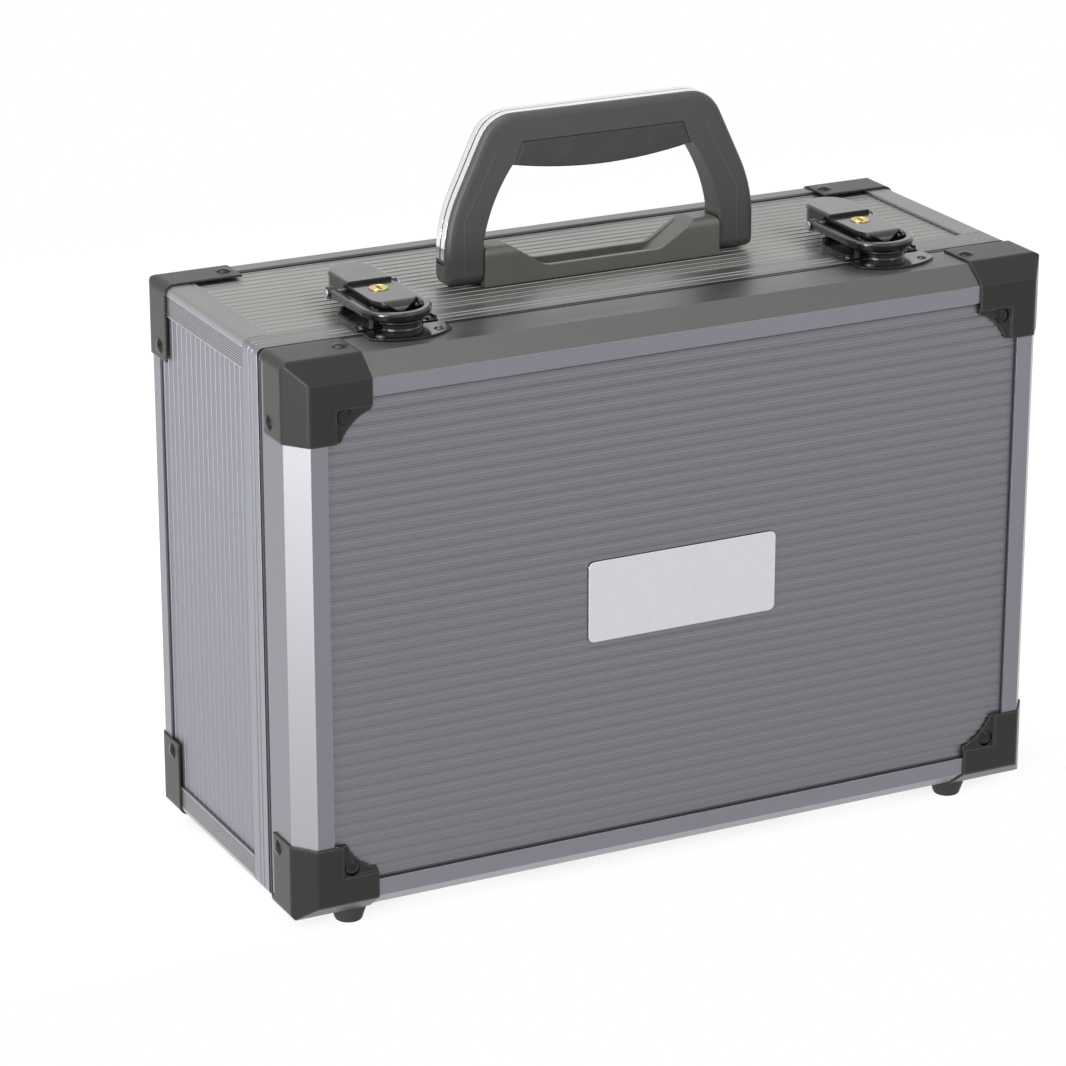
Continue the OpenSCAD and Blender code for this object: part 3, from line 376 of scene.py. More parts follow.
@dataclass(frozen=True)
class Finish:
    """A material's recipe. Each kind works out its own surface.

    A field that ends in dark, pale or tones holds factors on the tone. One that ends in span holds the
    two measures between which a mask goes from 0 to 1. One that ends in rough is added to roughness.
    """

    name: str
    tone: Colour
    edge: float = 0.4 * MM
    # The next two fields paint shade into corners and gaps between pieces: how strongly, and the factor on
    # the tone there.
    crevice_shade: float = 0.5
    crevice_shade_dark: float = 0.12
    reach: float = 1.6 * MM
    clouding: float = 0.1
    cloud_span: Span = (0.3, 0.75)
    cloud_pale: float = 1.9
    cloud_lift: float = 0.02

    def surface(self, g: Graph, edges: Value) -> Surface:
        """Works out the surface.

        Args:
            g: The material's graph.
            edges: 1 at edges, and 0 elsewhere.

        Returns:
            The surface.
        """
        raise NotImplementedError

    def build(self) -> bpy.types.Material:
        """Makes the material.

        Returns:
            The material.
        """
        g = Graph(self.name)
        normal = g.rounded(self.edge)
        made = self.surface(g, g.edges(normal))
        for height, depth in made.relief:
            normal = g.bump(height, depth, normal)
        # painted shade: corners, creases and gaps between pieces are darkened, as shade falls there
        painted_crevice_shade = g.crevice(self.reach) * self.crevice_shade
        colour = g.mix(painted_crevice_shade, made.colour, tinted(self.tone, self.crevice_shade_dark))
        inputs = {"Base Color": colour, "Roughness": made.roughness}
        inputs |= {"Metallic": made.metallic, "Normal": normal}
        shader = g.node("ShaderNodeBsdfPrincipled", {}, inputs | made.constants)
        g.node("ShaderNodeOutputMaterial", {}, {"Surface": shader.outputs[0]})
        return g.material

    def toned(self, g: Graph, share: Value, tones: Span) -> bpy.types.NodeSocket:
        """The tone, going from its first factor to its second with a share."""
        return g.mix(share, tinted(self.tone, tones[0]), tinted(self.tone, tones[1]))

    def dusted(self, g: Graph) -> bpy.types.NodeSocket:
        """The tone with faint broad clouding, as handling leaves it."""
        clouds = g.noise(scale=14.0, detail=4.0).ramp(*self.cloud_span)
        return g.mix(clouds * self.clouding, self.tone, tinted(self.tone, self.cloud_pale, self.cloud_lift))


@dataclass(frozen=True)
class BeadedSheet(Finish):
    """Anodised sheet, drawn along its beads, with finer lines between them and a painted shade beside each.
    """

    edge: float = 0.06 * MM
    run: Run = Run.ALONG_X
    across: Axis = Axis.Z
    pitch: float = 5.82 * MM
    middle: float = 0.0
    lines: float = 0.3
    lines_each: float = 4.0
    line_span: Span = (0.14, 0.04)
    line_dark: float = 0.7
    line_depth: float = 0.01 * MM
    # Painted shade beside each bead: its share, its place in the pitch, its width and the factor on the
    # tone.
    bead_shade: float = 0.35
    bead_shade_at: float = 0.62
    bead_shade_span: Span = (0.1, 0.0)
    bead_shade_dark: float = 0.55
    wear: float = 0.35
    wear_pale: float = 1.9
    roughness: float = 0.36
    streak: Size = (0.25 * MM, 220 * MM)
    streak_span: Span = (0.25, 0.8)
    streak_tones: Span = (0.96, 1.04)
    streak_rough: float = 0.05
    streak_depth: float = 0.0004 * MM
    metallic: float = 0.92
    anisotropy: float = 0.3

    def surface(self, g: Graph, edges: Value) -> Surface:
        """Works out the sheet.

        Args:
            g: The material's graph.
            edges: 1 at edges, and 0 elsewhere.

        Returns:
            The surface.
        """
        step = (g.axis(self.across) - self.middle) / self.pitch
        line = abs((step * self.lines_each).fraction() - 0.5).ramp(*self.line_span)
        # painted shade: a dark band beside each bead
        beside = abs((step + self.bead_shade_at).fraction() - 0.5).ramp(*self.bead_shade_span)
        brushed = g.streaks(self.run, *self.streak)
        drawn = self.toned(g, brushed.ramp(*self.streak_span), self.streak_tones)
        shaded = g.mix(beside * self.bead_shade, drawn, tinted(self.tone, self.bead_shade_dark))
        lined = g.mix(line * self.lines, shaded, tinted(self.tone, self.line_dark))
        worn = g.mix(edges * self.wear, lined, tinted(self.tone, self.wear_pale))
        roughness = self.roughness + brushed * self.streak_rough
        relief = [(brushed, self.streak_depth), (1 - line, self.line_depth)]
        return Surface(worn, roughness, self.metallic, relief, {"Anisotropic": self.anisotropy})


@dataclass(frozen=True)
class ExtrudedAlloy(Finish):
    """Anodised extrusion with fine die lines along each length of a mitred frame, with painted shade on its
    upward faces, a painted highlight on its slanted faces and a painted shadow along a seam.
    """

    half_w: float = 0.199
    half_h: float = 0.135
    middle_z: float = 0.146
    run: Run | None = None
    streak: Size = (0.35 * MM, 120 * MM)
    streak_span: Span = (0.2, 0.8)
    streak_tones: Span = (0.94, 1.06)
    streak_rough: float = 0.06
    streak_depth: float = 0.001 * MM
    # Painted shade: faces that look up get this darker tone, in this share.
    painted_top_shade: Colour = (0.2, 0.198, 0.188)
    top_shade_share: float = 0.92
    # Painted highlight: upright faces that stand aslant between the front and a side may get this paler
    # tone, in this share.
    slant_highlight: Colour | None = None
    slant_highlight_share: float = 0.95
    worn: Colour = (0.55, 0.56, 0.59)
    wear: float = 0.2
    rub: float = 0.4
    rub_span: Span = (0.4, 0.7)
    # Painted shadow: faces within about a millimetre of the seam's place along Y are darkened as the gap's
    # shadow.
    seam: float | None = None
    seam_shadow_span: Span = (1.4 * MM, 1.1 * MM)
    seam_shadow_share: float = 0.92
    seam_shadow_dark: float = 0.05
    roughness: float = 0.33
    smoothed: float = 0.06
    metallic: float = 0.9
    anisotropy: float = 0.3

    def die_lines(self, g: Graph) -> Value:
        """Fine lines along the extrusion, which change their way at the mitres.

        Args:
            g: The material's graph.

        Returns:
            The lines, from 0 to 1.
        """
        if self.run is not None:
            return g.streaks(self.run, *self.streak)
        from_side = self.half_w - abs(g.axis(Axis.X))
        from_end = self.half_h - abs(g.axis(Axis.Z) - self.middle_z)
        upright = from_end.over(from_side)
        level = g.streaks(Run.ALONG_X, *self.streak)
        tall = g.streaks(Run.ALONG_Z, *self.streak)
        return tall * upright + level * (1 - upright)

    def surface(self, g: Graph, edges: Value) -> Surface:
        """Works out the extrusion.

        Args:
            g: The material's graph.
            edges: 1 at edges, and 0 elsewhere.

        Returns:
            The surface.
        """
        drawn = self.die_lines(g)
        # painted shade on the faces that look up
        top = g.upward() * self.top_shade_share
        body = g.mix(top, self.toned(g, drawn.ramp(*self.streak_span), self.streak_tones), self.painted_top_shade)
        # painted highlight on the slanted faces
        if self.slant_highlight is not None:
            body = g.mix(g.slanted() * self.slant_highlight_share, body, self.slant_highlight)
        rubbed = g.noise(scale=160.0, detail=3.0).ramp(*self.rub_span)
        colour = g.mix(edges * (self.wear + rubbed * self.rub), body, self.worn)
        # painted shadow along the seam between the lid and the body
        if self.seam is not None:
            gap = abs(g.axis(Axis.Y) - self.seam).ramp(*self.seam_shadow_span)
            colour = g.mix(gap * self.seam_shadow_share, colour, tinted(self.tone, self.seam_shadow_dark))
        roughness = self.roughness + drawn * self.streak_rough - edges * self.smoothed
        relief = [(drawn, self.streak_depth)]
        return Surface(colour, roughness, self.metallic, relief, {"Anisotropic": self.anisotropy})


@dataclass(frozen=True)
class CapPaint(Finish):
    """Satin powder coat on stamped steel, rubbed at its edges, and paler along every edge as a painted
    highlight.
    """

    edge: float = 1.6 * MM
    # Pale edges: the even share paints a highlight on every edge, and the rubbed share is real wear.
    worn: Colour = (0.13, 0.13, 0.12)
    wear: float = 0.35
    rub: float = 0.3
    rub_span: Span = (0.5, 0.68)
    roughness: float = 0.3
    peel_rough: float = 0.06
    peel_depth: float = 0.006 * MM
    speck_depth: float = 0.002 * MM
    smoothed: float = 0.08
    gloss: float = 0.28

    def surface(self, g: Graph, edges: Value) -> Surface:
        """Works out the coat.

        Args:
            g: The material's graph.
            edges: 1 at edges, and 0 elsewhere.

        Returns:
            The surface.
        """
        peel = g.noise(scale=700.0, detail=2.0)
        speck = g.noise(scale=2600.0, detail=1.0)
        rubbed = g.noise(scale=220.0, detail=4.0, rough=0.65).ramp(*self.rub_span)
        # painted highlight on every edge, with real rubbing on top
        colour = g.mix(edges * (self.wear + rubbed * self.rub), self.dusted(g), self.worn)
        roughness = self.roughness + peel * self.peel_rough - edges * self.smoothed
        relief = [(peel, self.peel_depth), (speck, self.speck_depth)]
        return Surface(colour, roughness, 0.0, relief, {"Specular IOR Level": self.gloss})


@dataclass(frozen=True)
class GlossLacquer(Finish):
    """Black stoved lacquer on the pressed latches."""

    edge: float = 0.7 * MM
    worn: Colour = (0.16, 0.155, 0.14)
    rub: float = 0.35
    rub_span: Span = (0.52, 0.7)
    roughness: float = 0.16
    smear_rough: float = 0.14
    smear_span: Span = (0.35, 0.8)
    ripple_depth: float = 0.006 * MM
    metallic: float = 0.45
    coat: float = 0.6
    coat_roughness: float = 0.07

    def surface(self, g: Graph, edges: Value) -> Surface:
        """Works out the lacquer.

        Args:
            g: The material's graph.
            edges: 1 at edges, and 0 elsewhere.

        Returns:
            The surface.
        """
        ripple = g.noise(scale=420.0, detail=2.0)
        smear = g.noise(scale=60.0, detail=4.0, rough=0.6)
        rubbed = g.noise(scale=500.0, detail=3.0).ramp(*self.rub_span)
        colour = g.mix(edges * rubbed * self.rub, self.tone, self.worn)
        roughness = self.roughness + smear.ramp(*self.smear_span) * self.smear_rough
        coat = {"Coat Weight": self.coat, "Coat Roughness": self.coat_roughness}
        return Surface(colour, roughness, self.metallic, [(ripple, self.ripple_depth)], coat)


@dataclass(frozen=True)
class DarkSteel(Finish):
    """Steel with a dark or bright plating, faintly mottled."""

    roughness: float = 0.32
    mottle: float = 0.25
    mottle_span: Span = (0.3, 0.7)
    mottle_rough: float = 0.12
    wear: float = 0.5
    wear_pale: float = 1.6
    fine_depth: float = 0.004 * MM

    def surface(self, g: Graph, edges: Value) -> Surface:
        """Works out the steel.

        Args:
            g: The material's graph.
            edges: 1 at edges, and 0 elsewhere.

        Returns:
            The surface.
        """
        patches = g.noise(scale=320.0, detail=4.0, rough=0.6)
        colour = self.toned(g, patches.ramp(*self.mottle_span), (1 - self.mottle, 1 + self.mottle))
        worn = g.mix(edges * self.wear, colour, tinted(self.tone, self.wear_pale))
        fine = g.noise(scale=1800.0, detail=2.0)
        roughness = self.roughness + patches * self.mottle_rough
        return Surface(worn, roughness, 1.0, [(fine, self.fine_depth)])


@dataclass(frozen=True)
class Polished(Finish):
    """Bright plated or turned metal with hair scratches, and painted shade below a height."""

    roughness: float = 0.1
    run: Run = Run.ALONG_X
    hair: Size = (0.12 * MM, 14 * MM)
    hair_depth: float = 0.002 * MM
    haze: float = 0.3
    haze_span: Span = (0.4, 0.8)
    haze_dark: float = 0.8
    haze_rough: float = 0.08
    shade_below: float = -1.0
    below_shade_dark: float = 0.06

    def surface(self, g: Graph, edges: Value) -> Surface:
        """Works out the metal.

        Args:
            g: The material's graph.
            edges: 1 at edges, and 0 elsewhere. It is not used.

        Returns:
            The surface.
        """
        hairs = g.streaks(self.run, *self.hair)
        haze = g.noise(scale=90.0, detail=3.0)
        colour = g.mix(haze.ramp(*self.haze_span) * self.haze, self.tone, tinted(self.tone, self.haze_dark))
        # painted shade: below the height the metal is darkened, as it lies in shade there
        bright = g.axis(Axis.Z).ramp(self.shade_below, self.shade_below + MM)
        shown = g.mix(bright, tinted(self.tone, self.below_shade_dark), colour)
        return Surface(shown, self.roughness + haze * self.haze_rough, 1.0, [(hairs, self.hair_depth)])


@dataclass(frozen=True)
class MouldedPlastic(Finish):
    """Moulded plastic with a spark-eroded grain and rubbed corners."""

    edge: float = 0.8 * MM
    roughness: float = 0.48
    grain: float = 0.02 * MM
    grain_rough: float = 0.08
    touch_span: Span = (0.45, 0.8)
    touch_smooth: float = 0.1
    wear: float = 0.25
    wear_pale: float = 1.7
    smoothed: float = 0.08
    gloss: float = 0.5

    def surface(self, g: Graph, edges: Value) -> Surface:
        """Works out the plastic.

        Args:
            g: The material's graph.
            edges: 1 at edges, and 0 elsewhere.

        Returns:
            The surface.
        """
        pits = g.noise(scale=1300.0, detail=3.0, rough=0.6)
        touch = g.noise(scale=30.0, detail=4.0).ramp(*self.touch_span)
        colour = g.mix(edges * self.wear, self.dusted(g), tinted(self.tone, self.wear_pale))
        rough = self.roughness + pits * self.grain_rough
        roughness = rough - touch * self.touch_smooth - edges * self.smoothed
        return Surface(colour, roughness, 0.0, [(pits, self.grain)], {"Specular IOR Level": self.gloss})


@dataclass(frozen=True)
class GripPlastic(MouldedPlastic):
    """Moulded plastic with a fine raised line on each leg, which turns at a knee and is painted paler as a
    highlight on its ridge.
    """

    case_top: float = 0.0
    knee: Size = (73 * MM, 30 * MM)
    line_top: Size = (55 * MM, 64.5 * MM)
    line_span: Span = (0.55 * MM, 0.1 * MM)
    # Painted highlight on the line: its share and the factor on the tone.
    line_highlight_share: float = 0.35
    line_highlight_pale: float = 2.2
    line_depth: float = 0.12 * MM
    fade: float = MM

    def surface(self, g: Graph, edges: Value) -> Surface:
        """Works out the plastic and adds the line.

        Args:
            g: The material's graph.
            edges: 1 at edges, and 0 elsewhere.

        Returns:
            The surface.
        """
        made = super().surface(g, edges)
        across = abs(g.axis(Axis.X)) - self.knee[0]
        above = g.axis(Axis.Z) - (self.case_top + self.knee[1])
        run = math.dist(self.knee, self.line_top)
        rise, lean = (self.line_top[1] - self.knee[1]) / run, (self.knee[0] - self.line_top[0]) / run
        from_line = abs(across.at_least(across * rise + above * lean))
        end = self.line_top[1] - self.knee[1]
        line = from_line.ramp(*self.line_span) * above.ramp(end + self.fade, end - self.fade)
        # painted highlight along the raised line, whose relief is real and added below
        made.colour = g.mix(line * self.line_highlight_share, made.colour, tinted(self.tone, self.line_highlight_pale))
        made.relief.append((line, self.line_depth))
        return made


@dataclass(frozen=True)
class SoftRubber(Finish):
    """Matt rubber with fine specks and a bloom on its edges."""

    edge: float = 0.6 * MM
    gloss: float = 0.5
    bloom: float = 0.25
    bloom_span: Span = (0.4, 0.8)
    bloom_pale: float = 1.8
    bloom_lift: float = 0.01
    wear: float = 0.25
    roughness: float = 0.62
    speck_rough: float = 0.16
    speck_depth: float = 0.015 * MM

    def surface(self, g: Graph, edges: Value) -> Surface:
        """Works out the rubber.

        Args:
            g: The material's graph.
            edges: 1 at edges, and 0 elsewhere.

        Returns:
            The surface.
        """
        specks = g.noise(scale=1900.0, detail=2.0)
        bloom = g.noise(scale=70.0, detail=4.0).ramp(*self.bloom_span)
        pale = tinted(self.tone, self.bloom_pale, self.bloom_lift)
        colour = g.mix(bloom * self.bloom + edges * self.wear, self.tone, pale)
        roughness = self.roughness + specks * self.speck_rough
        shine = {"Specular IOR Level": self.gloss}
        return Surface(colour, roughness, 0.0, [(specks, self.speck_depth)], shine)


@dataclass(frozen=True)
class Felt(Finish):
    """Short-napped felt glued over board."""

    edge: float = 1.5 * MM
    fibre_share: float = 0.6
    tuft_share: float = 0.4
    fibre_span: Span = (0.3, 0.75)
    fibre_depth: float = 0.12 * MM
    tuft_depth: float = 0.15 * MM
    nap: float = 0.3
    nap_span: Span = (0.35, 0.7)
    nap_pale: float = 2.1
    roughness: float = 0.95
    sheen: float = 0.35
    sheen_roughness: float = 0.6

    def surface(self, g: Graph, edges: Value) -> Surface:
        """Works out the felt.

        Args:
            g: The material's graph.
            edges: 1 at edges, and 0 elsewhere. It is not used.

        Returns:
            The surface.
        """
        fibres = g.noise(scale=900.0, detail=5.0, rough=0.75)
        tufts = g.noise(scale=160.0, detail=3.0)
        nap = g.noise(scale=9.0, detail=3.0).ramp(*self.nap_span)
        light = tinted(self.tone, self.nap_pale)
        woven = (fibres * self.fibre_share + tufts * self.tuft_share).ramp(*self.fibre_span)
        colour = g.mix(woven, self.tone, light)
        brushed = g.mix(nap * self.nap, colour, light)
        relief = [(fibres, self.fibre_depth), (tufts, self.tuft_depth)]
        sheen = {"Sheen Weight": self.sheen, "Sheen Roughness": self.sheen_roughness}
        return Surface(brushed, self.roughness, 0.0, relief, sheen)


@dataclass(frozen=True)
class PressedBoard(Finish):
    """Fibreboard behind the sheets."""

    fibre_span: Span = (0.3, 0.7)
    fibre_tones: Span = (1.0, 1.35)
    fibre_depth: float = 0.05 * MM
    roughness: float = 0.85

    def surface(self, g: Graph, edges: Value) -> Surface:
        """Works out the board.

        Args:
            g: The material's graph.
            edges: 1 at edges, and 0 elsewhere. It is not used.

        Returns:
            The surface.
        """
        fibres = g.noise(scale=1100.0, detail=5.0, rough=0.7)
        colour = self.toned(g, fibres.ramp(*self.fibre_span), self.fibre_tones)
        return Surface(colour, self.roughness, 0.0, [(fibres, self.fibre_depth)])


# ---- modelling bench


class Bench:
    """Modelling with operators. One mesh at a time is on the bench, and it is edited by place or normal."""

    def __init__(self, name: str) -> None:
        """Clears the selection, so that nothing else is changed.

        Args:
            name: Name of the piece to be made.
        """
        self.name = name
        self.clear()

    @staticmethod
    def clear() -> None:
        """Leaves edit mode and deselects everything."""
        if bpy.context.object and bpy.context.object.mode != "OBJECT":
            bpy.ops.object.mode_set(mode="OBJECT")
        bpy.ops.object.select_all(action="DESELECT")

    @property
    def piece(self) -> bpy.types.Object:
        """The mesh on the bench."""
        return bpy.context.view_layer.objects.active

    def cylinder(self, radius: float, depth: float, at: Point, sides: int = 48) -> "Bench":
        """Starts from an upright cylinder about its middle."""
        bpy.ops.mesh.primitive_cylinder_add(vertices=sides, radius=radius, depth=depth, location=at)
        return self._named()

    def block(self, low: Point, high: Point) -> "Bench":
        """Starts from a block.

        Args:
            low: Its lowest corner.
            high: Its highest corner.

        Returns:
            The bench.
        """
        bpy.ops.mesh.primitive_cube_add(size=1.0, location=[(a + b) / 2 for a, b in zip(low, high)])
        self.piece.scale = [b - a for a, b in zip(low, high)]
        return self._named()

    def _named(self) -> "Bench":
        """Names the new mesh and settles its place into it.

        Returns:
            The bench.
        """
        self.piece.name = self.name
        self.piece.data.name = self.name
        bpy.ops.object.transform_apply(location=True, rotation=True, scale=True)
        return self

    def pick(self, kind: Pick, test: Callable[[Vector, Vector], bool]) -> "Bench":
        """Selects faces or edges in edit mode.

        Args:
            kind: Whether faces or edges are picked.
            test: Takes a face's middle and normal, or an edge's middle and direction.

        Returns:
            The bench.
        """
        bpy.ops.object.mode_set(mode="EDIT")
        bpy.ops.mesh.select_mode(type=kind.value)
        bpy.ops.mesh.select_all(action="DESELECT")
        mesh = bmesh.from_edit_mesh(self.piece.data)
        if kind is Pick.FACE:
            for face in mesh.faces:
                face.select_set(test(face.calc_center_median(), face.normal))
        else:
            for edge in mesh.edges:
                ends = [v.co for v in edge.verts]
                edge.select_set(test((ends[0] + ends[1]) / 2, (ends[1] - ends[0]).normalized()))
        mesh.select_flush_mode()
        bmesh.update_edit_mesh(self.piece.data)
        return self

    def inset(self, by: float) -> "Bench":
        """Insets the picked faces."""
        bpy.ops.mesh.inset(thickness=by, depth=0.0)
        return self

    def push(self, by: Point) -> "Bench":
        """Extrudes the picked faces along a vector."""
        bpy.ops.mesh.extrude_region_move(TRANSFORM_OT_translate={"value": by})
        return self

    def round_off(self, by: float, steps: int = 3) -> "Bench":
        """Bevels the picked edges."""
        bpy.ops.mesh.bevel(offset=by, segments=steps, affect="EDGES")
        return self

    def cut(self, cutter: bpy.types.Object) -> "Bench":
        """Takes another mesh out of the piece, and deletes it.

        Args:
            cutter: The mesh to take out.

        Returns:
            The bench.
        """
        piece = self.piece
        taken = piece.modifiers.new("taken_out", "BOOLEAN")
        taken.operation = "DIFFERENCE"
        taken.object = cutter
        taken.solver = "EXACT"
        bpy.ops.object.modifier_apply(modifier=taken.name)
        bpy.data.objects.remove(cutter)
        return self

    def done(self, material: bpy.types.Material, body: str, slot: str) -> bpy.types.Object:
        """Finishes the piece.

        Args:
            material: Its finish.
            body: The body that it rides on.
            slot: The record's material slot. It is not used.

        Returns:
            The piece.
        """
        piece = self.piece
        bpy.ops.object.mode_set(mode="EDIT")
        bpy.ops.mesh.select_all(action="SELECT")
        bpy.ops.mesh.remove_doubles(threshold=WELD)
        bpy.ops.mesh.normals_make_consistent(inside=False)
        bpy.ops.object.mode_set(mode="OBJECT")
        bpy.ops.object.shade_smooth_by_angle(angle=math.radians(SMOOTH_ANGLE))
        piece.data.materials.clear()
        piece.data.materials.append(material)
        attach(piece, body)
        piece.select_set(False)
        log.info("%s: %d faces", piece.name, len(piece.data.polygons))
        return piece


def paint(material: bpy.types.Material, nodes: Sequence[str]) -> None:
    """Puts a finish on CAD nodes.

    Args:
        material: The finish.
        nodes: Names of the nodes.
    """
    for name in nodes:
        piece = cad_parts[name]
        piece.data.materials.clear()
        piece.data.materials.append(material)
        log.info("%s: %s", name, material.name)


# ---- sub-assemblies


@dataclass
class Stock:
    """Finishes that several sub-assemblies share."""

    lacquer_tone: Colour = (0.014, 0.0135, 0.0125)
    zinc_tone: Colour = (0.5, 0.5, 0.51)
    brass_tone: Colour = (0.78, 0.58, 0.24)
    # Painted shade: the near-black tone of the keyway floors.
    keyway_shade_tone: Colour = (0.008, 0.008, 0.007)
    face_depth: float = 3 * MM

    def lacquer(self) -> bpy.types.Material:
        """Black lacquer of the latches."""
        return GlossLacquer("latch_lacquer", self.lacquer_tone).build()

    def zinc(self) -> bpy.types.Material:
        """Bright zinc of hinges, pins and screws."""
        return DarkSteel("zinc_steel", self.zinc_tone, roughness=0.34, mottle=0.15).build()

    def brass(self) -> bpy.types.Material:
        """Makes the locks' brass, with painted shade below their faces.

        Returns:
            The material.
        """
        lock_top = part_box("key_core_left")[1].z
        below = lock_top - self.face_depth
        finish = Polished("lock_brass", self.brass_tone, roughness=0.2, run=Run.ALONG_Y, shade_below=below)
        return finish.build()

    def dark(self) -> bpy.types.Material:
        """Painted shade for the keyways: a near-black floor under them."""
        return SoftRubber("keyway_shade", self.keyway_shade_tone).build()


@dataclass
class Shell:
    """Panels, frames, corner caps, badge and seal."""

    # Painted light and shade: the sheets are one anodised alloy. The front and back, the top and bottom, and
    # the two sides each get a tone of their own for the light that falls on them.
    front_sheet_lit_tone: Colour = (0.19, 0.191, 0.209)
    level_sheet_lit_tone: Colour = (0.33, 0.33, 0.318)
    side_sheet_lit_tone: Colour = (0.262, 0.263, 0.292)
    frame_tone: Colour = (0.27, 0.273, 0.308)
    lid_frame_tone: Colour = (0.215, 0.217, 0.245)
    # Painted highlight: a paler tone for the lid frame's slanted faces.
    slant_highlight_tone: Colour = (0.345, 0.348, 0.368)
    edge_tone: Colour = (0.36, 0.363, 0.395)
    cap_tone: Colour = (0.017, 0.0172, 0.015)
    badge_tone: Colour = (0.62, 0.62, 0.65)
    # Painted shade: darker tones for the upward faces of the lid frame and of the edge profiles.
    lid_top_shade_tone: Colour = (0.13, 0.13, 0.122)
    edge_top_shade_tone: Colour = (0.25, 0.25, 0.238)
    rivet_tone: Colour = (0.032, 0.032, 0.03)
    board_tone: Colour = (0.24, 0.17, 0.1)
    seal_tone: Colour = (0.006, 0.006, 0.006)

    def dress(self) -> None:
        """Puts the finishes on the shell."""
        middle_z = sum(c.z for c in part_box("lid_sheet")) / 2
        middle_y = sum(c.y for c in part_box("top_sheet")) / 2
        # Lit and shaded copies of one sheet alloy, one for each way the sheets face.
        front = BeadedSheet("front_sheet_alloy", self.front_sheet_lit_tone, middle=middle_z)
        level = BeadedSheet(
            "top_sheet_alloy", self.level_sheet_lit_tone, across=Axis.Y, middle=middle_y, bead_shade=0.75
        )
        side = BeadedSheet(
            "side_sheet_alloy",
            self.side_sheet_lit_tone,
            edge=0.35 * MM,
            run=Run.ALONG_Z,
            across=Axis.Y,
            middle=middle_y,
            lines=0.05,
            bead_shade=0.1,
            wear=0.05,
            roughness=0.5,
        )
        paint(front.build(), ["lid_sheet", "back_sheet"])
        paint(level.build(), ["top_sheet", "bottom_sheet"])
        paint(side.build(), ["left_sheet", "right_sheet"])
        # The seam's place, along which a painted shadow darkens both frames.
        seam = (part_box("lid_frame")[1].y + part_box("closing_frame")[0].y) / 2
        log.info("seam at %.2f mm", seam / MM)
        lid = ExtrudedAlloy(
            "lid_frame_alloy", self.lid_frame_tone, painted_top_shade=self.lid_top_shade_tone, slant_highlight=self.slant_highlight_tone, seam=seam
        )
        paint(lid.build(), ["lid_frame"])
        body = ExtrudedAlloy("frame_alloy", self.frame_tone, seam=seam)
        paint(body.build(), ["closing_frame", "rear_frame"])
        edge = ExtrudedAlloy(
            "edge_alloy", self.edge_tone, run=Run.ALONG_Y, crevice_shade=0.2, painted_top_shade=self.edge_top_shade_tone
        )
        paint(edge.build(), ["edge_profiles"])
        paint(CapPaint("cap_powder_coat", self.cap_tone).build(), ["lid_corner_caps", "rear_corner_caps"])
        rivets = DarkSteel("rivet_steel", self.rivet_tone, roughness=0.13)
        paint(rivets.build(), ["lid_cap_rivets", "rear_cap_rivets"])
        badge = DarkSteel("badge_alloy", self.badge_tone, roughness=0.3, mottle=0.015)
        paint(badge.build(), ["badge_plate"])
        paint(PressedBoard("fibreboard", self.board_tone).build(), ["lid_board", "body_boards"])
        seal = SoftRubber("seal_rubber", self.seal_tone, edge=0.1 * MM, gloss=0.04)
        paint(seal.build(), ["rim_seal"])


@dataclass
class Linings:
    """Felted boards that line the body and the lid."""

    tone: Colour = (0.03, 0.03, 0.032)
    wall: float = 4 * MM
    fold: float = 2.2 * MM
    board_corner: float = 6 * MM
    board_edge: float = 1.6 * MM

    def make(self) -> None:
        """Models both linings."""
        felt = Felt("lining_felt", self.tone).build()
        low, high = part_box("body_lining")
        tray = Bench("felt_body_lining").block(low, high)
        tray.pick(Pick.FACE, lambda c, n: n.y < -FACING).inset(self.wall)
        tray.push((0, high.y - low.y - self.wall, 0))
        tray.pick(
            Pick.EDGE,
            lambda c, d: low.x + TOUCHING < c.x < high.x - TOUCHING
            and low.z + TOUCHING < c.z < high.z - TOUCHING,
        )
        tray.round_off(self.fold, steps=4)
        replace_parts(tray.done(felt, "case_body", "lining"), "body_lining")
        low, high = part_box("lid_lining")
        board = Bench("felt_lid_lining").block(low, high)
        board.pick(Pick.EDGE, lambda c, d: abs(d.y) > FACING).round_off(self.board_corner, steps=5)
        board.pick(Pick.EDGE, lambda c, d: c.y > high.y - TOUCHING).round_off(self.board_edge)
        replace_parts(board.done(felt, "lid", "lining"), "lid_lining")


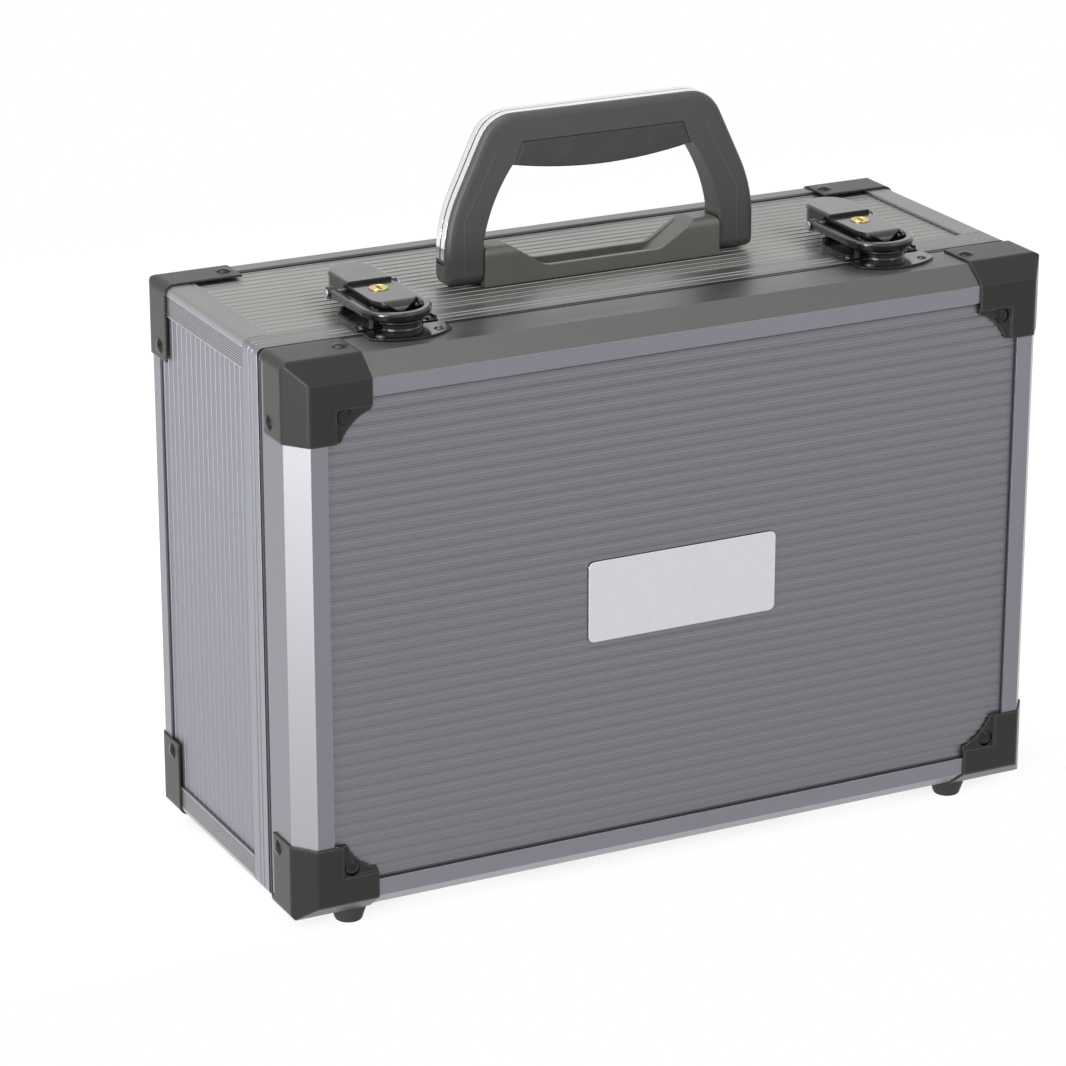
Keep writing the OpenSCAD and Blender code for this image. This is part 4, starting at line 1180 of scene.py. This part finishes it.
@dataclass
class Latch:
    """One toggle latch: lacquered pressings, steel pins and a brass lock.

    Sizes of the lock's face: its rim, the gap round it, the dish inside the rim, the ledge in the dish and
    the boss that the keyway is cut into. Widths come before lengths.
    """

    side: Side
    lacquer: bpy.types.Material
    steel: bpy.types.Material
    brass: bpy.types.Material
    dark: bpy.types.Material
    rim: float = 0.55 * MM
    gap: float = 0.05 * MM
    face_h: float = 0.5 * MM
    dish: float = 0.22 * MM
    ledge: float = 1.1 * MM
    boss: float = 0.12 * MM
    soft: float = 0.07 * MM
    rim_edges: float = 0.2 * MM
    slot: Size = (1.5 * MM, 5.8 * MM)
    ward: Size = (1.0 * MM, 1.8 * MM)
    ward_at: float = 0.9 * MM
    cut_half: float = MM
    floor_gap: float = 0.9 * MM
    floor_h: float = 0.1 * MM
    floor_below: float = 0.2 * MM
    floor_soft: float = 0.03 * MM

    def dress(self) -> None:
        """Puts the finishes on the latch."""
        pressed = ["strike_plate", "latch_base", "latch_lever", "thumb_pad", "latch_loop"]
        paint(self.lacquer, [f"{name}_{self.side}" for name in pressed])
        paint(self.steel, [f"loop_pin_{self.side}"])
        paint(self.brass, [f"key_core_{self.side}"])

    def make(self) -> None:
        """Models the lock's face, a rim round a dish with a warded keyway, and a near-black floor under it
        as painted shade.
        """
        low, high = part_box(f"key_core_{self.side}")
        x = (low.x + high.x) / 2
        radius = (high.x - low.x) / 2
        y = low.y + radius
        top = high.z
        body = f"key_{self.side}"
        face = Bench(f"lock_face_{self.side}").cylinder(radius - self.gap, self.face_h, (x, y, top))
        face.pick(Pick.FACE, lambda c, n: n.z > FACING).inset(self.rim).push((0, 0, -self.dish))
        face.inset(self.ledge).push((0, 0, self.boss))
        face.pick(Pick.EDGE, lambda c, d: c.z > top + self.rim_edges).round_off(self.soft, steps=2)
        bpy.ops.object.mode_set(mode="OBJECT")
        for offset, (width, length) in ((0.0, self.slot), (self.ward_at, self.ward)):
            piece = face.piece
            corner = Vector((x + offset - width / 2, y - length / 2, top - self.cut_half))
            across = Vector((width, length, 2 * self.cut_half))
            slot = Bench(f"keyway_{self.side}").block(corner, corner + across).piece
            Bench.clear()
            bpy.context.view_layer.objects.active = piece
            piece.select_set(True)
            face.cut(slot)
        face.done(self.brass, body, "key_brass")
        # painted shade: a near-black disc under the keyway stands for the shade deep inside it
        depth = top - self.floor_below
        floor = Bench(f"keyway_shade_floor_{self.side}")
        floor.cylinder(radius - self.floor_gap, self.floor_h, (x, y, depth), sides=24)
        floor.pick(Pick.EDGE, lambda c, d: c.z > depth).round_off(self.floor_soft, steps=1)
        floor.done(self.dark, body, "latch_paint")


@dataclass
class Handle:
    """Grip, insert, bright strips and the base that carries them."""

    tone: Colour = (0.054, 0.0545, 0.051)
    base_tone: Colour = (0.115, 0.1155, 0.107)
    insert_tone: Colour = (0.042, 0.0425, 0.040)
    strip_tone: Colour = (0.82, 0.82, 0.84)

    def dress(self) -> None:
        """Puts the finishes on the handle."""
        case_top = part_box("lid_corner_caps")[1].z
        paint(GripPlastic("grip_plastic", self.tone, case_top=case_top).build(), ["handle_grip"])
        paint(MouldedPlastic("base_plastic", self.base_tone, roughness=0.3).build(), ["handle_base"])
        paint(SoftRubber("insert_rubber", self.insert_tone).build(), ["grip_insert"])
        paint(Polished("strip_chrome", self.strip_tone).build(), ["chrome_trim_front", "chrome_trim_rear"])


@dataclass
class Feet:
    """Rubber feet and the screws that hold them."""

    steel: bpy.types.Material
    tone: Colour = (0.018, 0.018, 0.018)

    def dress(self) -> None:
        """Puts the finishes on the feet."""
        paint(SoftRubber("foot_rubber", self.tone).build(), ["front_feet", "rear_feet"])
        paint(self.steel, ["front_foot_screws", "rear_foot_screws"])


@dataclass
class Fittings:
    """Hinges, rivets, pins and screws that are plain metal."""

    zinc: bpy.types.Material
    lacquer: bpy.types.Material

    def dress(self) -> None:
        """Puts the finishes on the fittings."""
        paint(self.zinc, ["lid_hinge_leaves", "body_hinge_leaves", "hinge_pins", "lid_hinge_rivets"])
        paint(self.zinc, ["body_hinge_rivets", "handle_backing_plate", "handle_screws", "handle_pins"])
        paint(self.lacquer, ["strike_rivets", "latch_base_rivets", "lever_pins"])


# ---- studio


@dataclass
class Lamp:
    """A soft square lamp aimed at the case."""

    name: str
    at: Point
    size: float
    watts: float
    aim: Point = (0.0, 0.0, 0.15)

    def make(self) -> None:
        """Adds the lamp."""
        data = bpy.data.lights.new(self.name, "AREA")
        data.energy = self.watts
        data.size = self.size
        lamp = bpy.data.objects.new(self.name, data)
        lamp.location = self.at
        lamp.rotation_euler = (Vector(self.aim) - Vector(self.at)).to_track_quat("-Z", "Y").to_euler()
        bpy.context.scene.collection.objects.link(lamp)


@dataclass
class Studio:
    """Pale floor, soft light and the photograph's camera.

    Each span of the floor gives the distances at which a change starts and ends. The opening's side and
    front are measured from the case's side and from the front edge of the open lid.
    """

    azimuth: float = -26.76
    elevation: float = 19.88
    distance: float = 2.0156
    aim: Point = (-0.0373, 0.0, 0.1521)
    lens: float = 140.5
    sensor: float = 36.0
    farthest: float = 40.0
    floor_half: float = 9.0
    floor_tone: Colour = (0.5, 0.5, 0.5)
    floor_roughness: float = 0.9
    floor_glow: float = 0.72
    opening_side: Span = (0.4, 0.3)
    opening_rear: Span = (-0.04, -0.075)
    opening_front: Span = (0.6, 0.5)
    near_side: Span = (1.2, 0.7)
    near_depth: Span = (1.1, 0.6)
    world_light: float = 0.5
    world_seen: float = 1.0
    lamps: tuple[Lamp, ...] = (
        Lamp("key_lamp", (-1.25, -0.7, 1.25), 0.7, 11.0, (-0.12, -0.02, 0.2)),
        Lamp("top_lamp", (-0.35, 0.35, 2.1), 1.3, 17.0),
        Lamp("side_lamp", (-1.55, -0.78, 0.13), 0.4, 20.0, (-0.2, -0.06, 0.22)),
        Lamp("fill_lamp", (1.3, -2.2, 1.9), 1.2, 7.0),
    )

    def seen(self, tree: bpy.types.NodeTree) -> bpy.types.NodeSocket:
        """1 for rays from the camera and in mirrors and glass.

        Args:
            tree: The tree to add the nodes to.

        Returns:
            The socket.
        """
        path = tree.nodes.new("ShaderNodeLightPath")
        total = path.outputs["Is Camera Ray"]
        for name in ("Is Glossy Ray", "Is Transmission Ray"):
            add = tree.nodes.new("ShaderNodeMath")
            add.operation = "MAXIMUM"
            tree.links.new(total, add.inputs[0])
            tree.links.new(path.outputs[name], add.inputs[1])
            total = add.outputs[0]
        return total

    def make_floor(self) -> None:
        """Adds the pale floor, which keeps the case's shadow and is open where the lid swings below it."""
        Bench.clear()
        bpy.ops.mesh.primitive_plane_add(size=2 * self.floor_half, location=(0, 0, 0))
        floor = bpy.context.view_layer.objects.active
        floor.name = "studio_floor"
        g = Graph("studio_floor_paint")
        seen = self.seen(g.tree)
        inputs = {"Base Color": (*self.floor_tone, 1), "Roughness": self.floor_roughness}
        inputs |= {"Emission Color": (1, 1, 1, 1), "Specular IOR Level": 0.0}
        shader = g.node("ShaderNodeBsdfPrincipled", {}, inputs)
        glow = g.node("ShaderNodeMath", {"operation": "MULTIPLY"}, {0: seen, 1: self.floor_glow})
        g.tree.links.new(glow.outputs[0], shader.inputs["Emission Strength"])
        across, along = abs(g.axis(Axis.X)), g.axis(Axis.Y)
        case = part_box("lid_corner_caps")
        half, depth = case[1].x, case[1].z - case[0].z
        lid_front = case[0].y - depth
        opening = across.ramp(*(half + side for side in self.opening_side)) * along.ramp(*self.opening_rear)
        opening = opening * along.ramp(*(lid_front - front for front in self.opening_front))
        near = across.ramp(*self.near_side) * abs(along).ramp(*self.near_depth)
        looked_at = g.value("ShaderNodeLightPath", {}, {}, "Is Camera Ray")
        solid = (1 - opening) * (1 - looked_at * (1 - near))
        clear = g.node("ShaderNodeBsdfTransparent", {}, {})
        both = g.node("ShaderNodeMixShader", {}, {0: solid, 1: clear.outputs[0], 2: shader.outputs[0]})
        g.node("ShaderNodeOutputMaterial", {}, {"Surface": both.outputs[0]})
        floor.data.materials.append(g.material)

    def make_world(self) -> None:
        """Sets a soft grey surround that is white where it is seen."""
        world = bpy.data.worlds.new("studio_world")
        bpy.context.scene.world = world
        world.use_nodes = True
        tree = world.node_tree
        ground = tree.nodes["Background"]
        ground.inputs["Color"].default_value = (1, 1, 1, 1)
        level = tree.nodes.new("ShaderNodeMapRange")
        tree.links.new(self.seen(tree), level.inputs["Value"])
        level.inputs["To Min"].default_value = self.world_light
        level.inputs["To Max"].default_value = self.world_seen
        tree.links.new(level.outputs[0], ground.inputs["Strength"])

    def make_camera(self) -> None:
        """Adds the camera at the photograph's angle."""
        turn, rise = math.radians(self.azimuth), math.radians(self.elevation)
        back = Vector((math.sin(turn) * math.cos(rise), -math.cos(turn) * math.cos(rise), math.sin(rise)))
        data = bpy.data.cameras.new("studio_camera")
        data.lens = self.lens
        data.sensor_width = self.sensor
        data.clip_end = self.farthest
        camera = bpy.data.objects.new("studio_camera", data)
        camera.location = Vector(self.aim) + back * self.distance
        camera.rotation_euler = (-back).to_track_quat("-Z", "Y").to_euler()
        bpy.context.scene.collection.objects.link(camera)
        bpy.context.scene.camera = camera

    def make(self) -> None:
        """Adds floor, surround, lamps and camera."""
        self.make_floor()
        self.make_world()
        for lamp in self.lamps:
            lamp.make()
        self.make_camera()
        bpy.context.scene.view_settings.view_transform = "Standard"


def main() -> None:
    """Builds the case's looks, piece by piece, and the studio round it."""
    logging.basicConfig(level=logging.INFO, format="%(name)s %(message)s")
    stock = Stock()
    lacquer, zinc, brass, dark = stock.lacquer(), stock.zinc(), stock.brass(), stock.dark()
    Shell().dress()
    Linings().make()
    for side in Side:
        latch = Latch(side, lacquer, zinc, brass, dark)
        latch.dress()
        latch.make()
    Handle().dress()
    Feet(zinc).dress()
    Fittings(zinc, lacquer).dress()
    Studio().make()


if __name__ == "__main__":
    main()
